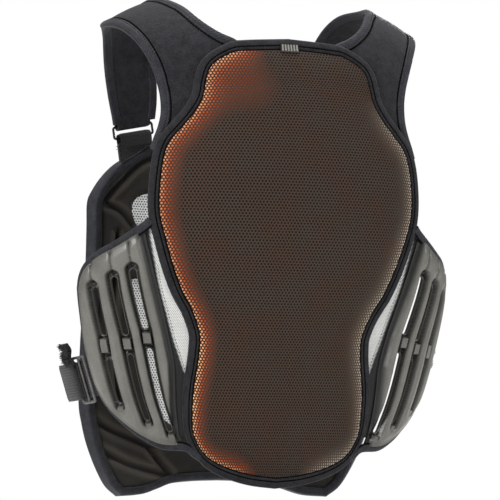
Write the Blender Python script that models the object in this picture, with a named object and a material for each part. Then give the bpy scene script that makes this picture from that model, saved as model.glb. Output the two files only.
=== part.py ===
"""Motocross body protector vest, made of a back protector on a neoprene harness and a chest panel.

Metres, +Z up. +Y is the way the wearer faces and +X is the wearer's right. The origin is in the
middle of the line over the two shoulders. Every soft layer is draped on one smooth torso form.
Pattern pieces are drawn flat, in millimetres: on the back and wings as (girth from the spine,
height), and on the shoulders and chest as (side distance, distance along the fall of the cloth).
"""

import math

import bpy
import numpy as np
from mathutils import Vector
from mathutils.geometry import delaunay_2d_cdt

MM = 0.001

# Torso form: superellipse sections under a rounded shoulder cap.
SECTION_POWER = 2.3
CAP_POWER = 2.2
CAP_BASE_Z = -0.097
CAP_HEIGHT = 0.1115
FORM_Z = (-0.54, -0.48, -0.42, -0.36, -0.30, -0.25, -0.20, -0.15, -0.097)
FORM_HALF_WIDTH = (0.130, 0.146, 0.174, 0.192, 0.204, 0.205, 0.205, 0.205, 0.205)
FORM_BACK_DEPTH = (0.044, 0.061, 0.069, 0.076, 0.092, 0.106, 0.112, 0.108, 0.099)
FORM_FRONT_DEPTH = (0.108, 0.112, 0.114, 0.114, 0.113, 0.111, 0.108, 0.102, 0.092)
FRONT_HALF_WIDTH = 0.205
GIRTH_HALF_WIDTH = 0.205
GIRTH_DEPTH = 0.105
OVER_SHOULDER = 0.280
RIDGE = OVER_SHOULDER / 2

# Layers: heights above the form of each layer's inner and outer faces.
LINER = (0.000, 0.0025)
MESH_GUSSET = (0.0012, 0.0024)
PAD_FLOOR = 0.0035
COVER_WALL = 0.0012
COVER_EDGE = 0.0075
COVER_CROWN = 0.0080
CROWN_REACH = 0.060
BINDING = (0.0035, 0.0080)
WING = (0.0030, 0.0075)
WING_TAPE = (0.0022, 0.0085)
SHOULDER_TAPE = (-0.0008, 0.0032)
CHEST_EDGE = (0.0010, 0.0180)
LABEL_LAYER = (0.0083, 0.0092)
LABEL_HALF_WIDTH = 0.010
LABEL_HEIGHT = (-0.0575, -0.0505)
STRAP = (0.0010, 0.0040)
CHEST_FOAM = (0.0020, 0.0130)
CHEST_SHELL = (0.0142, 0.0175)
SEAM_GAP = 0.0005
LAYER_GAP = 0.0014

# Mesh density.
GRID = 0.022
EDGE_STEP = 0.018
STRIP_STEP = 0.013
NO_GRID = 0.3
TRACE_STEP = 0.004

# Back panel half outlines, top centre to bottom centre (girth, height).
BORDER_OUTER = [(0, -48), (50, -51), (68, -54), (88, -65), (98, -77), (103, -94), (106, -109),
                (115, -124), (128, -139), (140, -153), (147, -169), (151, -190), (153, -218),
                (151, -240), (144, -264), (135, -290), (125, -316), (114, -337), (108, -357),
                (109, -370), (113, -387), (120, -408), (127, -432), (133, -455), (131, -472),
                (121, -488), (104, -499), (75, -508), (40, -514), (0, -517)]
BORDER_WIDTH = 0.0115

# Wing edges (girth, height).
WING_REAR = [(157, -243), (152, -262), (145, -285), (137, -318), (131, -353), (128, -387),
             (131, -412), (137, -440), (141, -462), (139, -478)]
WING_TOP = [(157, -243), (170, -252), (186, -262), (203, -271), (219, -283), (228, -295),
            (233, -308)]
WING_FRONT = [(233, -308), (236, -336), (240, -360), (241, -385), (240, -408)]
WING_LOWER = [(240, -408), (234, -425), (224, -440), (209, -455), (192, -467), (170, -476),
              (139, -478)]
SLOT_WIDTH = 0.0072
SLOTS = [((208, -308), (205, -358)), ((206, -382), (206, -428)),
         ((185, -298), (178, -358)), ((178, -378), (177, -446)),
         ((165, -290), (155, -352)), ((154, -372), (152, -458))]
WING_BINDING = 0.0075
WING_HINGE_TOP = (154, -236)
WING_HINGE_LOW = (141, -484)
WING_HINGE_LIFT = 0.0085

# Shoulder edges (side distance, distance along the cloth).
NECK_EDGE = [(118, 140), (112, 105), (101, 80), (93, 64), (83, 52), (71, 43), (58, 37)]
ARMHOLE_EDGE = [(173, 140), (171, 108), (163, 72), (153, 42), (145, 20), (139, 2), (136, -15),
                (136, -32), (139, -46), (144, -60), (147, -70)]
STRAP_OUTER = [(173, 140), (165, 172), (156, 206), (148, 250), (142, 278), (135, 298)]
STRAP_INNER = [(118, 140), (106, 172), (95, 210), (87, 250), (84, 270), (85, 288)]
EDGE_TAPE = 0.0045

# Chest half outline, neck centre to bottom centre (side distance, distance along the cloth).
CHEST_TOP = [(0, 378), (30, 372), (54, 352), (68, 330), (84, 325), (105, 337), (124, 349),
             (138, 363), (149, 379), (154, 392), (154, 420), (155, 470), (160, 540), (162, 605),
             (158, 632), (152, 654), (142, 678), (131, 697), (118, 708)]
CHEST_LOW = [(118, 708), (93, 706), (74, 700), (57, 694), (30, 691), (0, 690)]
CHEST_TAPE = 0.009
CHEST_WINDOWS = [[(62, 380), (90, 379), (104, 390), (100, 412), (76, 428), (60, 422)],
                 [(106, 474), (86, 476), (70, 524), (54, 577), (43, 618), (54, 630), (70, 616),
                  (86, 572), (101, 526), (113, 492)]]

# Webbing and rings.
CHEST_WEBBING = [(88, 319), (108, 322), (128, 327), (124, 347), (105, 335), (86, 324)]
WEBBING_LAYER = (0.0015, 0.0033)
WEBBING_WIDTH = 0.040
WEBBING_THICK = 0.0016
SHOULDER_RING = (0.052, 0.0150)
RING_BAR = 0.0026
OUTER_CORNER = 0.0035
INNER_CORNER = 0.0010
SIDE_SLIDE = (0.052, 0.0280)
SLIDE_CENTRE = Vector((0.1905, 0.0080, -0.4040))
SLIDE_UP = Vector((0.290, 0.0, 0.957))
SLIDE_FORWARD = Vector((0.200, 0.980, 0.0))
SLIDE_REAR_BAR = 0.0038
LOOP_RADIUS = 0.0031
LOOP_REACH = 0.008
SWING_LOOP_RADIUS = 0.0044
SWING_LOOP_REACH = 0.0085
LOOP_THICK = 0.0012
RING_THICK = 0.0025
SLIDE_END_BAR = 0.0032

# Side slide's webbing in the slide's own plane (forward, outward) from its middle bar.
SLIDE_ROOT = (-0.0210, -0.0080)
WING_TAB = [(-0.0172, -0.0055), (-0.0135, -0.0045), (-0.0080, -0.0036)]
STRAP_RUN = [(0.0500, -0.0149), (0.0400, -0.0095), (0.0300, -0.0060), (0.0200, -0.0042)]
STRAP_TAIL = [(0.0180, 0.0036), (0.0430, 0.0012)]
CHEST_TAB = [(0.0530, -0.0208), (0.0596, -0.0254), (0.0660, -0.0300)]
CHEST_TAB_WIDTH = 0.036


# ---------------------------------------------------------------- form and charts

def eased(value, stations, sizes):
    """Smooth curve through a form's sizes at its height stations."""
    value = np.asarray(value, float)
    stations = np.asarray(stations)
    sizes = np.asarray(sizes)
    slopes = np.gradient(sizes, stations)
    i = np.clip(np.searchsorted(stations, value) - 1, 0, len(stations) - 2)
    step = stations[i + 1] - stations[i]
    t = np.clip((value - stations[i]) / step, 0, 1)
    return ((2 * t ** 3 - 3 * t ** 2 + 1) * sizes[i] + (t ** 3 - 2 * t ** 2 + t) * step * slopes[i]
            + (3 * t ** 2 - 2 * t ** 3) * sizes[i + 1] + (t ** 3 - t ** 2) * step * slopes[i + 1])


def girth_table():
    """Quarter of the reference section: girth against its side and depth fractions."""
    turn = np.linspace(0, math.pi / 2, 2001)
    side = np.sin(turn) ** (2 / SECTION_POWER)
    depth = np.cos(turn) ** (2 / SECTION_POWER)
    steps = np.hypot(np.diff(GIRTH_HALF_WIDTH * side), np.diff(GIRTH_DEPTH * depth))
    return np.concatenate([[0], np.cumsum(steps)]), side, depth


GIRTH, SIDE_FRACTION, DEPTH_FRACTION = girth_table()


def wrap_point(u, z):
    """Back and sides of the form at girth u from the spine and height z."""
    low = np.minimum(z, CAP_BASE_Z)
    rise = np.clip((z - CAP_BASE_Z) / CAP_HEIGHT, 0, 1)
    shrink = (1 - rise ** CAP_POWER) ** (1 / SECTION_POWER)
    side = np.interp(np.abs(u), GIRTH, SIDE_FRACTION) * np.sign(u)
    depth = np.interp(np.abs(u), GIRTH, DEPTH_FRACTION)
    x = eased(low, FORM_Z, FORM_HALF_WIDTH) * side * shrink
    y = -eased(low, FORM_Z, FORM_BACK_DEPTH) * depth * shrink
    return np.stack([x, y, z + 0 * x], -1)


def drape_point(x, q):
    """Up the back, over the shoulder and down the chest at side distance x, path length q."""
    turn = np.clip(math.pi * q / OVER_SHOULDER, 0, math.pi)
    fall = np.where(q < 0, q, np.where(q > OVER_SHOULDER, OVER_SHOULDER - q, 0))
    z = CAP_BASE_Z + fall
    front = q > RIDGE
    width = np.where(front, FRONT_HALF_WIDTH, eased(z, FORM_Z, FORM_HALF_WIDTH))
    depth = np.where(front, eased(z, FORM_Z, FORM_FRONT_DEPTH), -eased(z, FORM_Z, FORM_BACK_DEPTH))
    room = np.clip(1 - (np.abs(x) / width) ** SECTION_POWER, 1e-9, 1)
    y = depth * room ** (1 / SECTION_POWER) * np.abs(np.cos(turn)) ** (2 / SECTION_POWER)
    top = CAP_HEIGHT * room ** (1 / CAP_POWER) * np.sin(turn) ** (2 / CAP_POWER)
    return np.stack([x + 0 * q, y, z + top], -1)


def layer(chart, a, b, lift):
    """Points of a chart lifted off the form along its outward normal."""
    a = np.asarray(a, float)
    b = np.asarray(b, float)
    d = 2e-4
    along_a = chart(a + d, b) - chart(a - d, b)
    along_b = chart(a, b + d) - chart(a, b - d)
    normal = np.cross(along_a, along_b)
    normal /= np.linalg.norm(normal, axis=-1, keepdims=True)
    return chart(a, b) + normal * np.asarray(lift, float)[..., None]


def drape_length(x, z):
    """Path length q of a point on the back of the shoulder at height z."""
    if z <= CAP_BASE_Z:
        return z - CAP_BASE_Z
    room = 1 - (abs(x) / FRONT_HALF_WIDTH) ** SECTION_POWER
    rise = (z - CAP_BASE_Z) / (CAP_HEIGHT * room ** (1 / CAP_POWER))
    return math.asin(min(1.0, rise ** (CAP_POWER / 2))) * OVER_SHOULDER / math.pi


# ---------------------------------------------------------------- flat outlines

def metres(points):
    return [(a * MM, b * MM) for a, b in points]


def mirrored(points):
    return [(-a, b) for a, b in points]


def smooth(points, step, closed=False):
    """Catmull-Rom curve through the points, cut into equal steps."""
    p = np.array(points, float)
    if closed:
        padded = np.vstack([p[-1], p, p[0], p[1]])
    else:
        padded = np.vstack([2 * p[0] - p[1], p, 2 * p[-1] - p[-2]])
    dense = []
    for p0, p1, p2, p3 in zip(padded, padded[1:], padded[2:], padded[3:]):
        for t in np.linspace(0, 1, 12, endpoint=False):
            dense.append(0.5 * (2 * p1 + (p2 - p0) * t + (2 * p0 - 5 * p1 + 4 * p2 - p3) * t ** 2
                                + (3 * p1 - p0 - 3 * p2 + p3) * t ** 3))
    dense.append(p[0] if closed else p[-1])
    dense = np.array(dense)
    run = np.concatenate([[0], np.cumsum(np.linalg.norm(np.diff(dense, axis=0), axis=1))])
    count = max(2, round(run[-1] / step) + 1)
    marks = np.linspace(0, run[-1], count)
    curve = np.stack([np.interp(marks, run, dense[:, i]) for i in range(2)], -1)
    return curve[:-1] if closed else curve


def joined(*edges):
    """Closed outline from open edges that meet end to end."""
    points = []
    for edge in edges:
        for point in edge:
            if not points or np.linalg.norm(np.subtract(point, points[-1])) > 1e-5:
                points.append(tuple(point))
    if np.linalg.norm(np.subtract(points[0], points[-1])) < 1e-5:
        points.pop()
    return np.array(points)


def signed_area(points):
    x, y = np.array(points).T
    return 0.5 * float(np.sum(x * np.roll(y, -1) - y * np.roll(x, -1)))


def inset(points, distance):
    """Closed outline moved inward by a distance, with mitred corners."""
    p = np.array(points)
    if signed_area(p) < 0:
        p = p[::-1]
    ahead = np.roll(p, -1, 0) - p
    ahead /= np.linalg.norm(ahead, axis=1, keepdims=True)
    behind = np.roll(ahead, 1, 0)
    inward = np.stack([-(ahead + behind)[:, 1], (ahead + behind)[:, 0]], -1)
    inward /= np.linalg.norm(inward, axis=1, keepdims=True)
    straight = -behind[:, 1] * inward[:, 0] + behind[:, 0] * inward[:, 1]
    return p + inward * (distance / np.clip(straight, 0.5, 1))[:, None]


def strip_outline(path, side_a, side_b):
    """Closed outline of a band between two sideways distances from an open path."""
    p = np.array(path)
    along = np.gradient(p, axis=0)
    along /= np.linalg.norm(along, axis=1, keepdims=True)
    left = np.stack([-along[:, 1], along[:, 0]], -1)
    return joined(p + left * side_a, (p + left * side_b)[::-1])


def inside(points, outline):
    """True for each point that lies inside a closed outline."""
    x, y = np.array(points).T
    ax, ay = np.array(outline).T
    bx, by = np.roll(ax, -1), np.roll(ay, -1)
    spans = (ay[None] > y[:, None]) != (by[None] > y[:, None])
    rise = np.where(by == ay, 1e-12, by - ay)
    cross = (bx - ax)[None] * (y[:, None] - ay[None]) / rise[None] + ax[None]
    return (np.sum(spans & (x[:, None] < cross), axis=1) % 2) == 1


def edge_distance(points, outline):
    """Distance of each point from a closed outline."""
    p = np.array(points)[:, None]
    a = np.array(outline)[None]
    b = np.roll(outline, -1, 0)[None]
    t = np.clip(np.sum((p - a) * (b - a), -1) / np.maximum(np.sum((b - a) ** 2, -1), 1e-12), 0, 1)
    return np.min(np.linalg.norm(p - a - t[..., None] * (b - a), axis=-1), axis=1)


def stadium(start, end, width, sides=3):
    """Slot outline with round ends."""
    start, end = np.array(start), np.array(end)
    along = (end - start) / np.linalg.norm(end - start)
    heading = math.atan2(along[1], along[0])
    points = []
    for centre, first in ((end, heading - math.pi / 2), (start, heading + math.pi / 2)):
        inner = centre - along * width / 2 if centre is end else centre + along * width / 2
        for k in range(sides + 1):
            angle = first + math.pi * k / sides
            points.append(inner + width / 2 * np.array([math.cos(angle), math.sin(angle)]))
    return np.array(points)


# ---------------------------------------------------------------- solids

def material(name, colour, roughness, metallic=0.0):
    shade = bpy.data.materials.new(name)
    shade.use_nodes = True
    principled = shade.node_tree.nodes["Principled BSDF"]
    principled.inputs["Base Color"].default_value = (*colour, 1.0)
    principled.inputs["Roughness"].default_value = roughness
    principled.inputs["Metallic"].default_value = metallic
    return shade


def add_object(name, vertices, faces, shade, pivot=(0, 0, 0)):
    """One closed body, its origin on the pivot of its joint."""
    mesh = bpy.data.meshes.new(name)
    mesh.from_pydata([Vector(v) - Vector(pivot) for v in vertices], [], faces)
    mesh.validate()
    mesh.shade_smooth()
    mesh.set_sharp_from_angle(angle=math.radians(35))
    mesh.materials.append(shade)
    item = bpy.data.objects.new(name, mesh)
    item.location = pivot
    bpy.context.scene.collection.objects.link(item)
    return item


def panel(name, chart, outline, inner, outer, shade, holes=(), pivot=(0, 0, 0), grid=GRID):
    """Draped panel between two lifts; a lift is a number or a function of the flat points."""
    loops = [np.array(outline)] + [np.array(hole) for hole in holes]
    low, high = loops[0].min(0), loops[0].max(0)
    columns = np.arange(math.floor(low[0] / grid), math.ceil(high[0] / grid) + 1) * grid
    rows = np.arange(math.floor(low[1] / grid), math.ceil(high[1] / grid) + 1) * grid
    lattice = np.array([(c + (grid / 2 if round(r / grid) % 2 else 0), r)
                        for r in rows for c in columns])
    lattice = lattice[inside(lattice, loops[0])]
    for loop in loops:
        if len(lattice):
            lattice = lattice[edge_distance(lattice, loop) > 0.42 * grid]
    for hole in loops[1:]:
        if len(lattice):
            lattice = lattice[~inside(lattice, hole)]
    flat = [Vector(p) for loop in loops for p in loop] + [Vector(p) for p in lattice]
    edges = []
    start = 0
    for loop in loops:
        edges += [(start + i, start + (i + 1) % len(loop)) for i in range(len(loop))]
        start += len(loop)
    points, _, triangles = delaunay_2d_cdt(flat, edges, [], 0, 1e-7)[:3]
    points = np.array([tuple(p) for p in points])
    triangles = np.array(triangles)
    centres = points[triangles].mean(1)
    keep = inside(centres, loops[0])
    for hole in loops[1:]:
        keep &= ~inside(centres, hole)
    triangles = triangles[keep]
    used = np.unique(triangles)
    renumber = np.full(len(points), -1)
    renumber[used] = np.arange(len(used))
    points, triangles = points[used], renumber[triangles]
    lifts = [lift(points) if callable(lift) else np.full(len(points), lift)
             for lift in (inner, outer)]
    bottom, top = (layer(chart, points[:, 0], points[:, 1], lift) for lift in lifts)
    count = len(points)
    faces = [tuple(int(i) + count for i in t) for t in triangles]
    faces += [tuple(int(i) for i in t[::-1]) for t in triangles]
    directed = {(t[i], t[(i + 1) % 3]) for t in triangles for i in range(3)}
    for a, b in sorted(directed):
        if (b, a) not in directed:
            faces.append((int(a), int(b), int(b) + count, int(a) + count))
    vertices = np.vstack([bottom, top])
    return add_object(name, vertices, faces, shade, pivot)


def ribbon(name, path, width_axis, width, thick, shade, pivot=(0, 0, 0)):
    """Flat webbing of even thickness that follows a path of 3-D points."""
    p = np.array([tuple(point) for point in path])
    across = np.array(tuple(Vector(width_axis).normalized()))
    along = np.gradient(p, axis=0)
    along /= np.linalg.norm(along, axis=1, keepdims=True)
    normal = np.cross(along, across)
    normal /= np.linalg.norm(normal, axis=1, keepdims=True)
    corners = [p + across * width / 2 * s + normal * thick / 2 * t
               for s, t in ((-1, -1), (1, -1), (1, 1), (-1, 1))]
    vertices = np.stack(corners, 1).reshape(-1, 3)
    faces = [(3, 2, 1, 0)]
    for i in range(len(p) - 1):
        for k in range(4):
            j = (k + 1) % 4
            faces.append((4 * i + k, 4 * i + j, 4 * i + 4 + j, 4 * i + 4 + k))
    last = 4 * (len(p) - 1)
    faces.append((last, last + 1, last + 2, last + 3))
    return add_object(name, vertices, faces, shade, pivot)


def ring_frame(name, centre, long_axis, short_axis, size, bars, thick, shade, pivot=(0, 0, 0),
               crossbar=None):
    """Flat rectangular loop with rounded corners; bars are its rear, front and end widths."""
    half_long, half_short = size[0] / 2, size[1] / 2
    rear, front, end = bars

    def rounded(l0, l1, s0, s1, radius):
        points = []
        for cl, cs, first in ((l1 - radius, s1 - radius, 0), (l0 + radius, s1 - radius, 90),
                              (l0 + radius, s0 + radius, 180), (l1 - radius, s0 + radius, 270)):
            for k in range(4):
                angle = math.radians(first + 30 * k)
                points.append((cl + radius * math.cos(angle), cs + radius * math.sin(angle)))
        return np.array(points)

    outer = rounded(-half_long, half_long, -half_short, half_short, OUTER_CORNER)
    low, high = end - half_long, half_long - end
    if crossbar is None:
        holes = [rounded(low, high, rear - half_short, half_short - front, INNER_CORNER)]
    else:
        holes = [rounded(low, high, rear - half_short, crossbar - RING_BAR / 2, INNER_CORNER),
                 rounded(low, high, crossbar + RING_BAR / 2, half_short - front, INNER_CORNER)]

    def plate(a, b):
        base = np.array(tuple(centre))
        return (base + np.asarray(a)[..., None] * np.array(tuple(long_axis))
                + np.asarray(b)[..., None] * np.array(tuple(short_axis)))

    return panel(name, plate, outer, -thick / 2, thick / 2, shade, holes, pivot, grid=NO_GRID)


def turn_round(bar, radius, start_angle, end_angle, steps=6):
    """Points of an arc round a bar, in its (forward, outward) plane."""
    angles = np.radians(np.linspace(start_angle, end_angle, steps + 1))
    return [(bar[0] + radius * math.cos(a), bar[1] + radius * math.sin(a)) for a in angles]


# ---------------------------------------------------------------- pattern pieces

def full_border(step):
    half = smooth(metres(BORDER_OUTER), step)
    return joined(half, mirrored(half[::-1]))


def crown(edge, reach, height, rim):
    """Lift that rises from the rim to a soft crown away from an edge."""
    def lift(points):
        inward = np.clip(edge_distance(points, edge) / reach, 0, 1)
        return rim + height * np.sin(inward * math.pi / 2) ** 0.8
    return lift


def side_name(stem, side):
    return f"{stem}_{'right' if side > 0 else 'left'}"


def sided(points, side):
    return [(a * side, b) for a, b in points]


def make_back(shades):
    border = full_border(STRIP_STEP)
    inner_edge = inset(border, BORDER_WIDTH)
    liner_edge = inset(full_border(EDGE_STEP), BORDER_WIDTH / 2 + LAYER_GAP)
    cover_edge = inset(border, BORDER_WIDTH + SEAM_GAP)
    pad_edge = inset(full_border(EDGE_STEP), BORDER_WIDTH + 0.004)
    cover_top = crown(cover_edge, CROWN_REACH, COVER_CROWN, COVER_EDGE)
    panel("back_liner", wrap_point, liner_edge, *LINER, shades["neoprene"])
    panel("back_impact_pad", wrap_point, pad_edge, PAD_FLOOR,
          lambda points: cover_top(points) - COVER_WALL - LAYER_GAP, shades["pad"])
    panel("back_mesh_cover", wrap_point, cover_edge,
          lambda points: cover_top(points) - COVER_WALL, cover_top, shades["cover"])
    panel("back_binding", wrap_point, border, *BINDING, shades["neoprene"], [inner_edge],
          grid=NO_GRID)
    label = [(LABEL_HALF_WIDTH * a, LABEL_HEIGHT[b]) for a, b in ((-1, 0), (1, 0), (1, 1), (-1, 1))]
    panel("label_tab", wrap_point, label, *LABEL_LAYER, shades["label"], grid=NO_GRID)


def border_middle(first, last, side, step):
    """Part of the line along the middle of the border, on the shoulder chart."""
    half = smooth(metres(BORDER_OUTER), TRACE_STEP)
    line = inset(joined(half, mirrored(half[::-1])), BORDER_WIDTH / 2 - SEAM_GAP)
    line = line[line[:, 0] > 0]
    line = line[(line[:, 1] < first) & (line[:, 1] > last) & (line[:, 0] > 0.045)]
    line = line[np.argsort(-line[:, 1])]
    places = wrap_point(line[:, 0], line[:, 1])
    flat = [(x, drape_length(x, z)) for x, _, z in places]
    return sided(smooth(flat, step), side)


def make_shoulder(side, shades):
    """Back half of a shoulder: yoke and its neck and armhole edge tapes."""
    neck = sided(smooth(metres(NECK_EDGE), STRIP_STEP), side)
    arm = sided(smooth(metres(ARMHOLE_EDGE), STRIP_STEP), side)
    neck_in = [tuple(p) for p in strip_side(neck, (EDGE_TAPE + SEAM_GAP) * side)]
    arm_in = [tuple(p) for p in strip_side(arm, -(EDGE_TAPE + SEAM_GAP) * side)]
    seam = border_middle(-0.060, -0.160, side, EDGE_STEP)
    outline = joined(neck_in, seam, arm_in[::-1])
    panel(side_name("shoulder_yoke", side), drape_point, outline, *LINER, shades["neoprene"])
    for stem, line, turn in (("neck_tape", neck, 1), ("armhole_tape", arm, -1)):
        band = strip_outline(line[:-1], 0.0, EDGE_TAPE * side * turn)
        panel(side_name(stem, side), drape_point, band, *SHOULDER_TAPE, shades["tape"],
              grid=NO_GRID)


def strip_side(path, distance):
    """Open path moved sideways, to its left for a positive distance."""
    p = np.array(path)
    along = np.gradient(p, axis=0)
    along /= np.linalg.norm(along, axis=1, keepdims=True)
    return p + np.stack([-along[:, 1], along[:, 0]], -1) * distance


def make_gusset(side, shades):
    """White mesh between the border and the rear edge of the wing."""
    border = inset(full_border(TRACE_STEP), BORDER_WIDTH / 2 - SEAM_GAP)
    border = border[(border[:, 0] > 0) & (border[:, 1] < -0.262) & (border[:, 1] > -0.405)]
    border = smooth(border[np.argsort(-border[:, 1])], EDGE_STEP)
    wing = np.array(smooth(metres(WING_REAR), TRACE_STEP))
    wing = wing[(wing[:, 1] < -0.262) & (wing[:, 1] > -0.405)]
    wing = smooth(wing, EDGE_STEP) - np.array([0.0022, 0])
    outline = sided(joined(border, wing[::-1]), side)
    panel(side_name("side_mesh", side), wrap_point, outline, *MESH_GUSSET, shades["mesh"])


def wing_hinge(side):
    """Two points of a wing's fold line, on the outside of the wing."""
    ends = np.array(metres([WING_HINGE_LOW, WING_HINGE_TOP]))
    low, top = layer(wrap_point, ends[:, 0] * side, ends[:, 1], np.full(2, WING_HINGE_LIFT))
    return Vector(low), Vector(top)


def make_wing(side, shades):
    pivot = wing_hinge(side)[0]
    edges = [smooth(metres(e), STRIP_STEP) for e in (WING_TOP, WING_FRONT, WING_LOWER)]
    rear = smooth(metres(WING_REAR), STRIP_STEP)
    gap = WING_BINDING + SEAM_GAP
    top_in = strip_side(edges[0], -gap)
    front_in = strip_side(edges[1], -gap)
    low_in = strip_side(edges[2], -gap)
    top_in = top_in[top_in[:, 1] > front_in[0, 1]]
    low_in = low_in[low_in[:, 1] < front_in[-1, 1]]
    rear_in = rear[(rear[:, 1] < top_in[0, 1]) & (rear[:, 1] > low_in[-1, 1])]
    outline = joined(top_in, front_in, low_in, rear_in[::-1])
    slots = [sided(stadium(*metres(slot), SLOT_WIDTH), side) for slot in SLOTS]
    panel(side_name("wing_shell", side), wrap_point, sided(outline, side), *WING,
          shades["wing"], slots, pivot)
    top_band = strip_outline(edges[0][:-1], 0.0, -WING_BINDING)
    round_edge = joined(edges[1], edges[2])
    low_band = strip_outline(round_edge, 0.0, -WING_BINDING)
    for stem, band in (("wing_top_tape", top_band), ("wing_lower_tape", low_band)):
        panel(side_name(stem, side), wrap_point, sided(band, side), *WING_TAPE,
              shades["tape"], (), pivot, grid=NO_GRID)


def make_front_strap(side, shades):
    """Front half of a shoulder strap, its ring and the webbing loop that holds the ring."""
    outer = smooth(metres(STRAP_OUTER), EDGE_STEP)
    inner = smooth(metres(STRAP_INNER), EDGE_STEP)
    outline = sided(joined(outer, inner[::-1]), side)
    outline = [(a, max(b, RIDGE + SEAM_GAP)) for a, b in outline]
    panel(side_name("shoulder_strap", side), drape_point, outline, *STRAP, shades["neoprene"])
    centre, across, down, normal = shoulder_ring_frame(side)
    ring_frame(side_name("shoulder_ring", side), centre, across, down, SHOULDER_RING,
               (RING_BAR, RING_BAR, RING_BAR), RING_THICK, shades["ring"])
    upper_bar = -SHOULDER_RING[1] / 2 + RING_BAR / 2
    flat = [(upper_bar - LOOP_REACH, LOOP_RADIUS)]
    flat += turn_round((upper_bar, 0), LOOP_RADIUS, 90, -90)
    flat += [(upper_bar - LOOP_REACH, -LOOP_RADIUS)]
    path = [centre + down * a + normal * b for a, b in flat]
    ribbon(side_name("strap_loop", side), path, across, WEBBING_WIDTH, LOOP_THICK,
           shades["webbing"])


def shoulder_ring_frame(side):
    """Centre, long axis, downward axis and outward normal of a shoulder ring."""
    ends = layer(drape_point, np.array([0.086, 0.134]) * side, np.array([0.3060, 0.3160]),
                 np.full(2, 0.0025))
    inner_end, outer_end = Vector(ends[0]), Vector(ends[1])
    centre = (inner_end + outer_end) / 2
    across = (outer_end - inner_end).normalized() * side
    out = Vector((0, 1, 0.10))
    down = (out.cross(across)).normalized()
    if down.z > 0:
        down.negate()
    normal = down.cross(across).normalized()
    if normal.y < 0:
        normal.negate()
    return centre, across, down, normal


def make_chest(shades):
    half = joined(smooth(metres(CHEST_TOP), STRIP_STEP), smooth(metres(CHEST_LOW), STRIP_STEP))
    tape = joined(half, mirrored(half[::-1]))
    tape_in = inset(tape, CHEST_TAPE)
    body = inset(tape, CHEST_TAPE + SEAM_GAP)
    windows = []
    for window in CHEST_WINDOWS:
        ring = smooth(metres(window), STRIP_STEP, closed=True)
        windows += [ring, np.array(mirrored(ring))]
    pivot = chest_hinge()
    panel("chest_foam", drape_point, body, *CHEST_FOAM, shades["foam"], windows, pivot)
    panel("chest_shell", drape_point, body, *CHEST_SHELL, shades["shell"], (), pivot)
    panel("chest_tape", drape_point, tape, *CHEST_EDGE, shades["tape"], [tape_in], pivot,
          grid=NO_GRID)


def chest_hinge():
    """Middle of the line through the lower bars of the two shoulder rings."""
    centre, _, down, _ = shoulder_ring_frame(1)
    bar = centre + down * (SHOULDER_RING[1] / 2 - RING_BAR / 2)
    return Vector((0, bar.y, bar.z))


def make_chest_webbing(side, shades):
    """Webbing from the chest's top edge to a loop round the lower bar of a shoulder ring."""
    outline = sided(metres(CHEST_WEBBING), side)
    panel(side_name("chest_webbing", side), drape_point, outline, *WEBBING_LAYER,
          shades["webbing"], (), chest_hinge())
    centre, across, down, normal = shoulder_ring_frame(side)
    bar = SHOULDER_RING[1] / 2 - RING_BAR / 2
    radius = SWING_LOOP_RADIUS
    flat = [(bar + SWING_LOOP_REACH, radius)] + turn_round((bar, 0), radius, 90, 270)
    flat += [(bar + SWING_LOOP_REACH, -radius)]
    path = [centre + down * a + normal * b for a, b in flat]
    ribbon(side_name("webbing_loop", side), path, across, WEBBING_WIDTH, LOOP_THICK,
           shades["webbing"], chest_hinge())


def slide_axes(side):
    """Long, forward and outward axes of a side slide."""
    up = Vector((SLIDE_UP.x * side, SLIDE_UP.y, SLIDE_UP.z)).normalized()
    forward = Vector((SLIDE_FORWARD.x * side, SLIDE_FORWARD.y, SLIDE_FORWARD.z))
    forward = (forward - up * forward.dot(up)).normalized()
    outward = forward.cross(up).normalized()
    if outward.x * side < 0:
        outward.negate()
    return up, forward, outward


def make_side_slide(side, shades):
    """Three-bar slide on the wing's webbing tab, and the strap folded over its front bar."""
    centre = Vector((SLIDE_CENTRE.x * side, SLIDE_CENTRE.y, SLIDE_CENTRE.z))
    up, forward, outward = slide_axes(side)

    def place(flat):
        return [centre + forward * a + outward * b for a, b in flat]

    root = place([SLIDE_ROOT])[0]
    ring_frame(side_name("side_slide", side), centre, up, forward, SIDE_SLIDE,
               (SLIDE_REAR_BAR, RING_BAR, SLIDE_END_BAR), RING_THICK, shades["slide"], root,
               crossbar=0.0)
    tab = WING_TAB + turn_round((0, 0), LOOP_RADIUS, -90, 60)
    ribbon(side_name("wing_tab", side), place(tab), up, WEBBING_WIDTH, WEBBING_THICK,
           shades["webbing"], root)
    bar = SIDE_SLIDE[1] / 2 - RING_BAR / 2
    strap = STRAP_RUN + turn_round((bar, 0), LOOP_RADIUS, 270, 90) + STRAP_TAIL
    ribbon(side_name("side_strap", side), place(strap), up, WEBBING_WIDTH, WEBBING_THICK,
           shades["webbing"], centre + forward * bar)


def make_chest_tab(side, shades):
    """Short webbing tab on the chest's edge that the side strap closes on."""
    centre = Vector((SLIDE_CENTRE.x * side, SLIDE_CENTRE.y, SLIDE_CENTRE.z))
    up, forward, outward = slide_axes(side)
    path = [centre + forward * a + outward * b for a, b in CHEST_TAB]
    ribbon(side_name("chest_tab", side), path, up, CHEST_TAB_WIDTH, WEBBING_THICK,
           shades["webbing"], chest_hinge())


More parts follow.
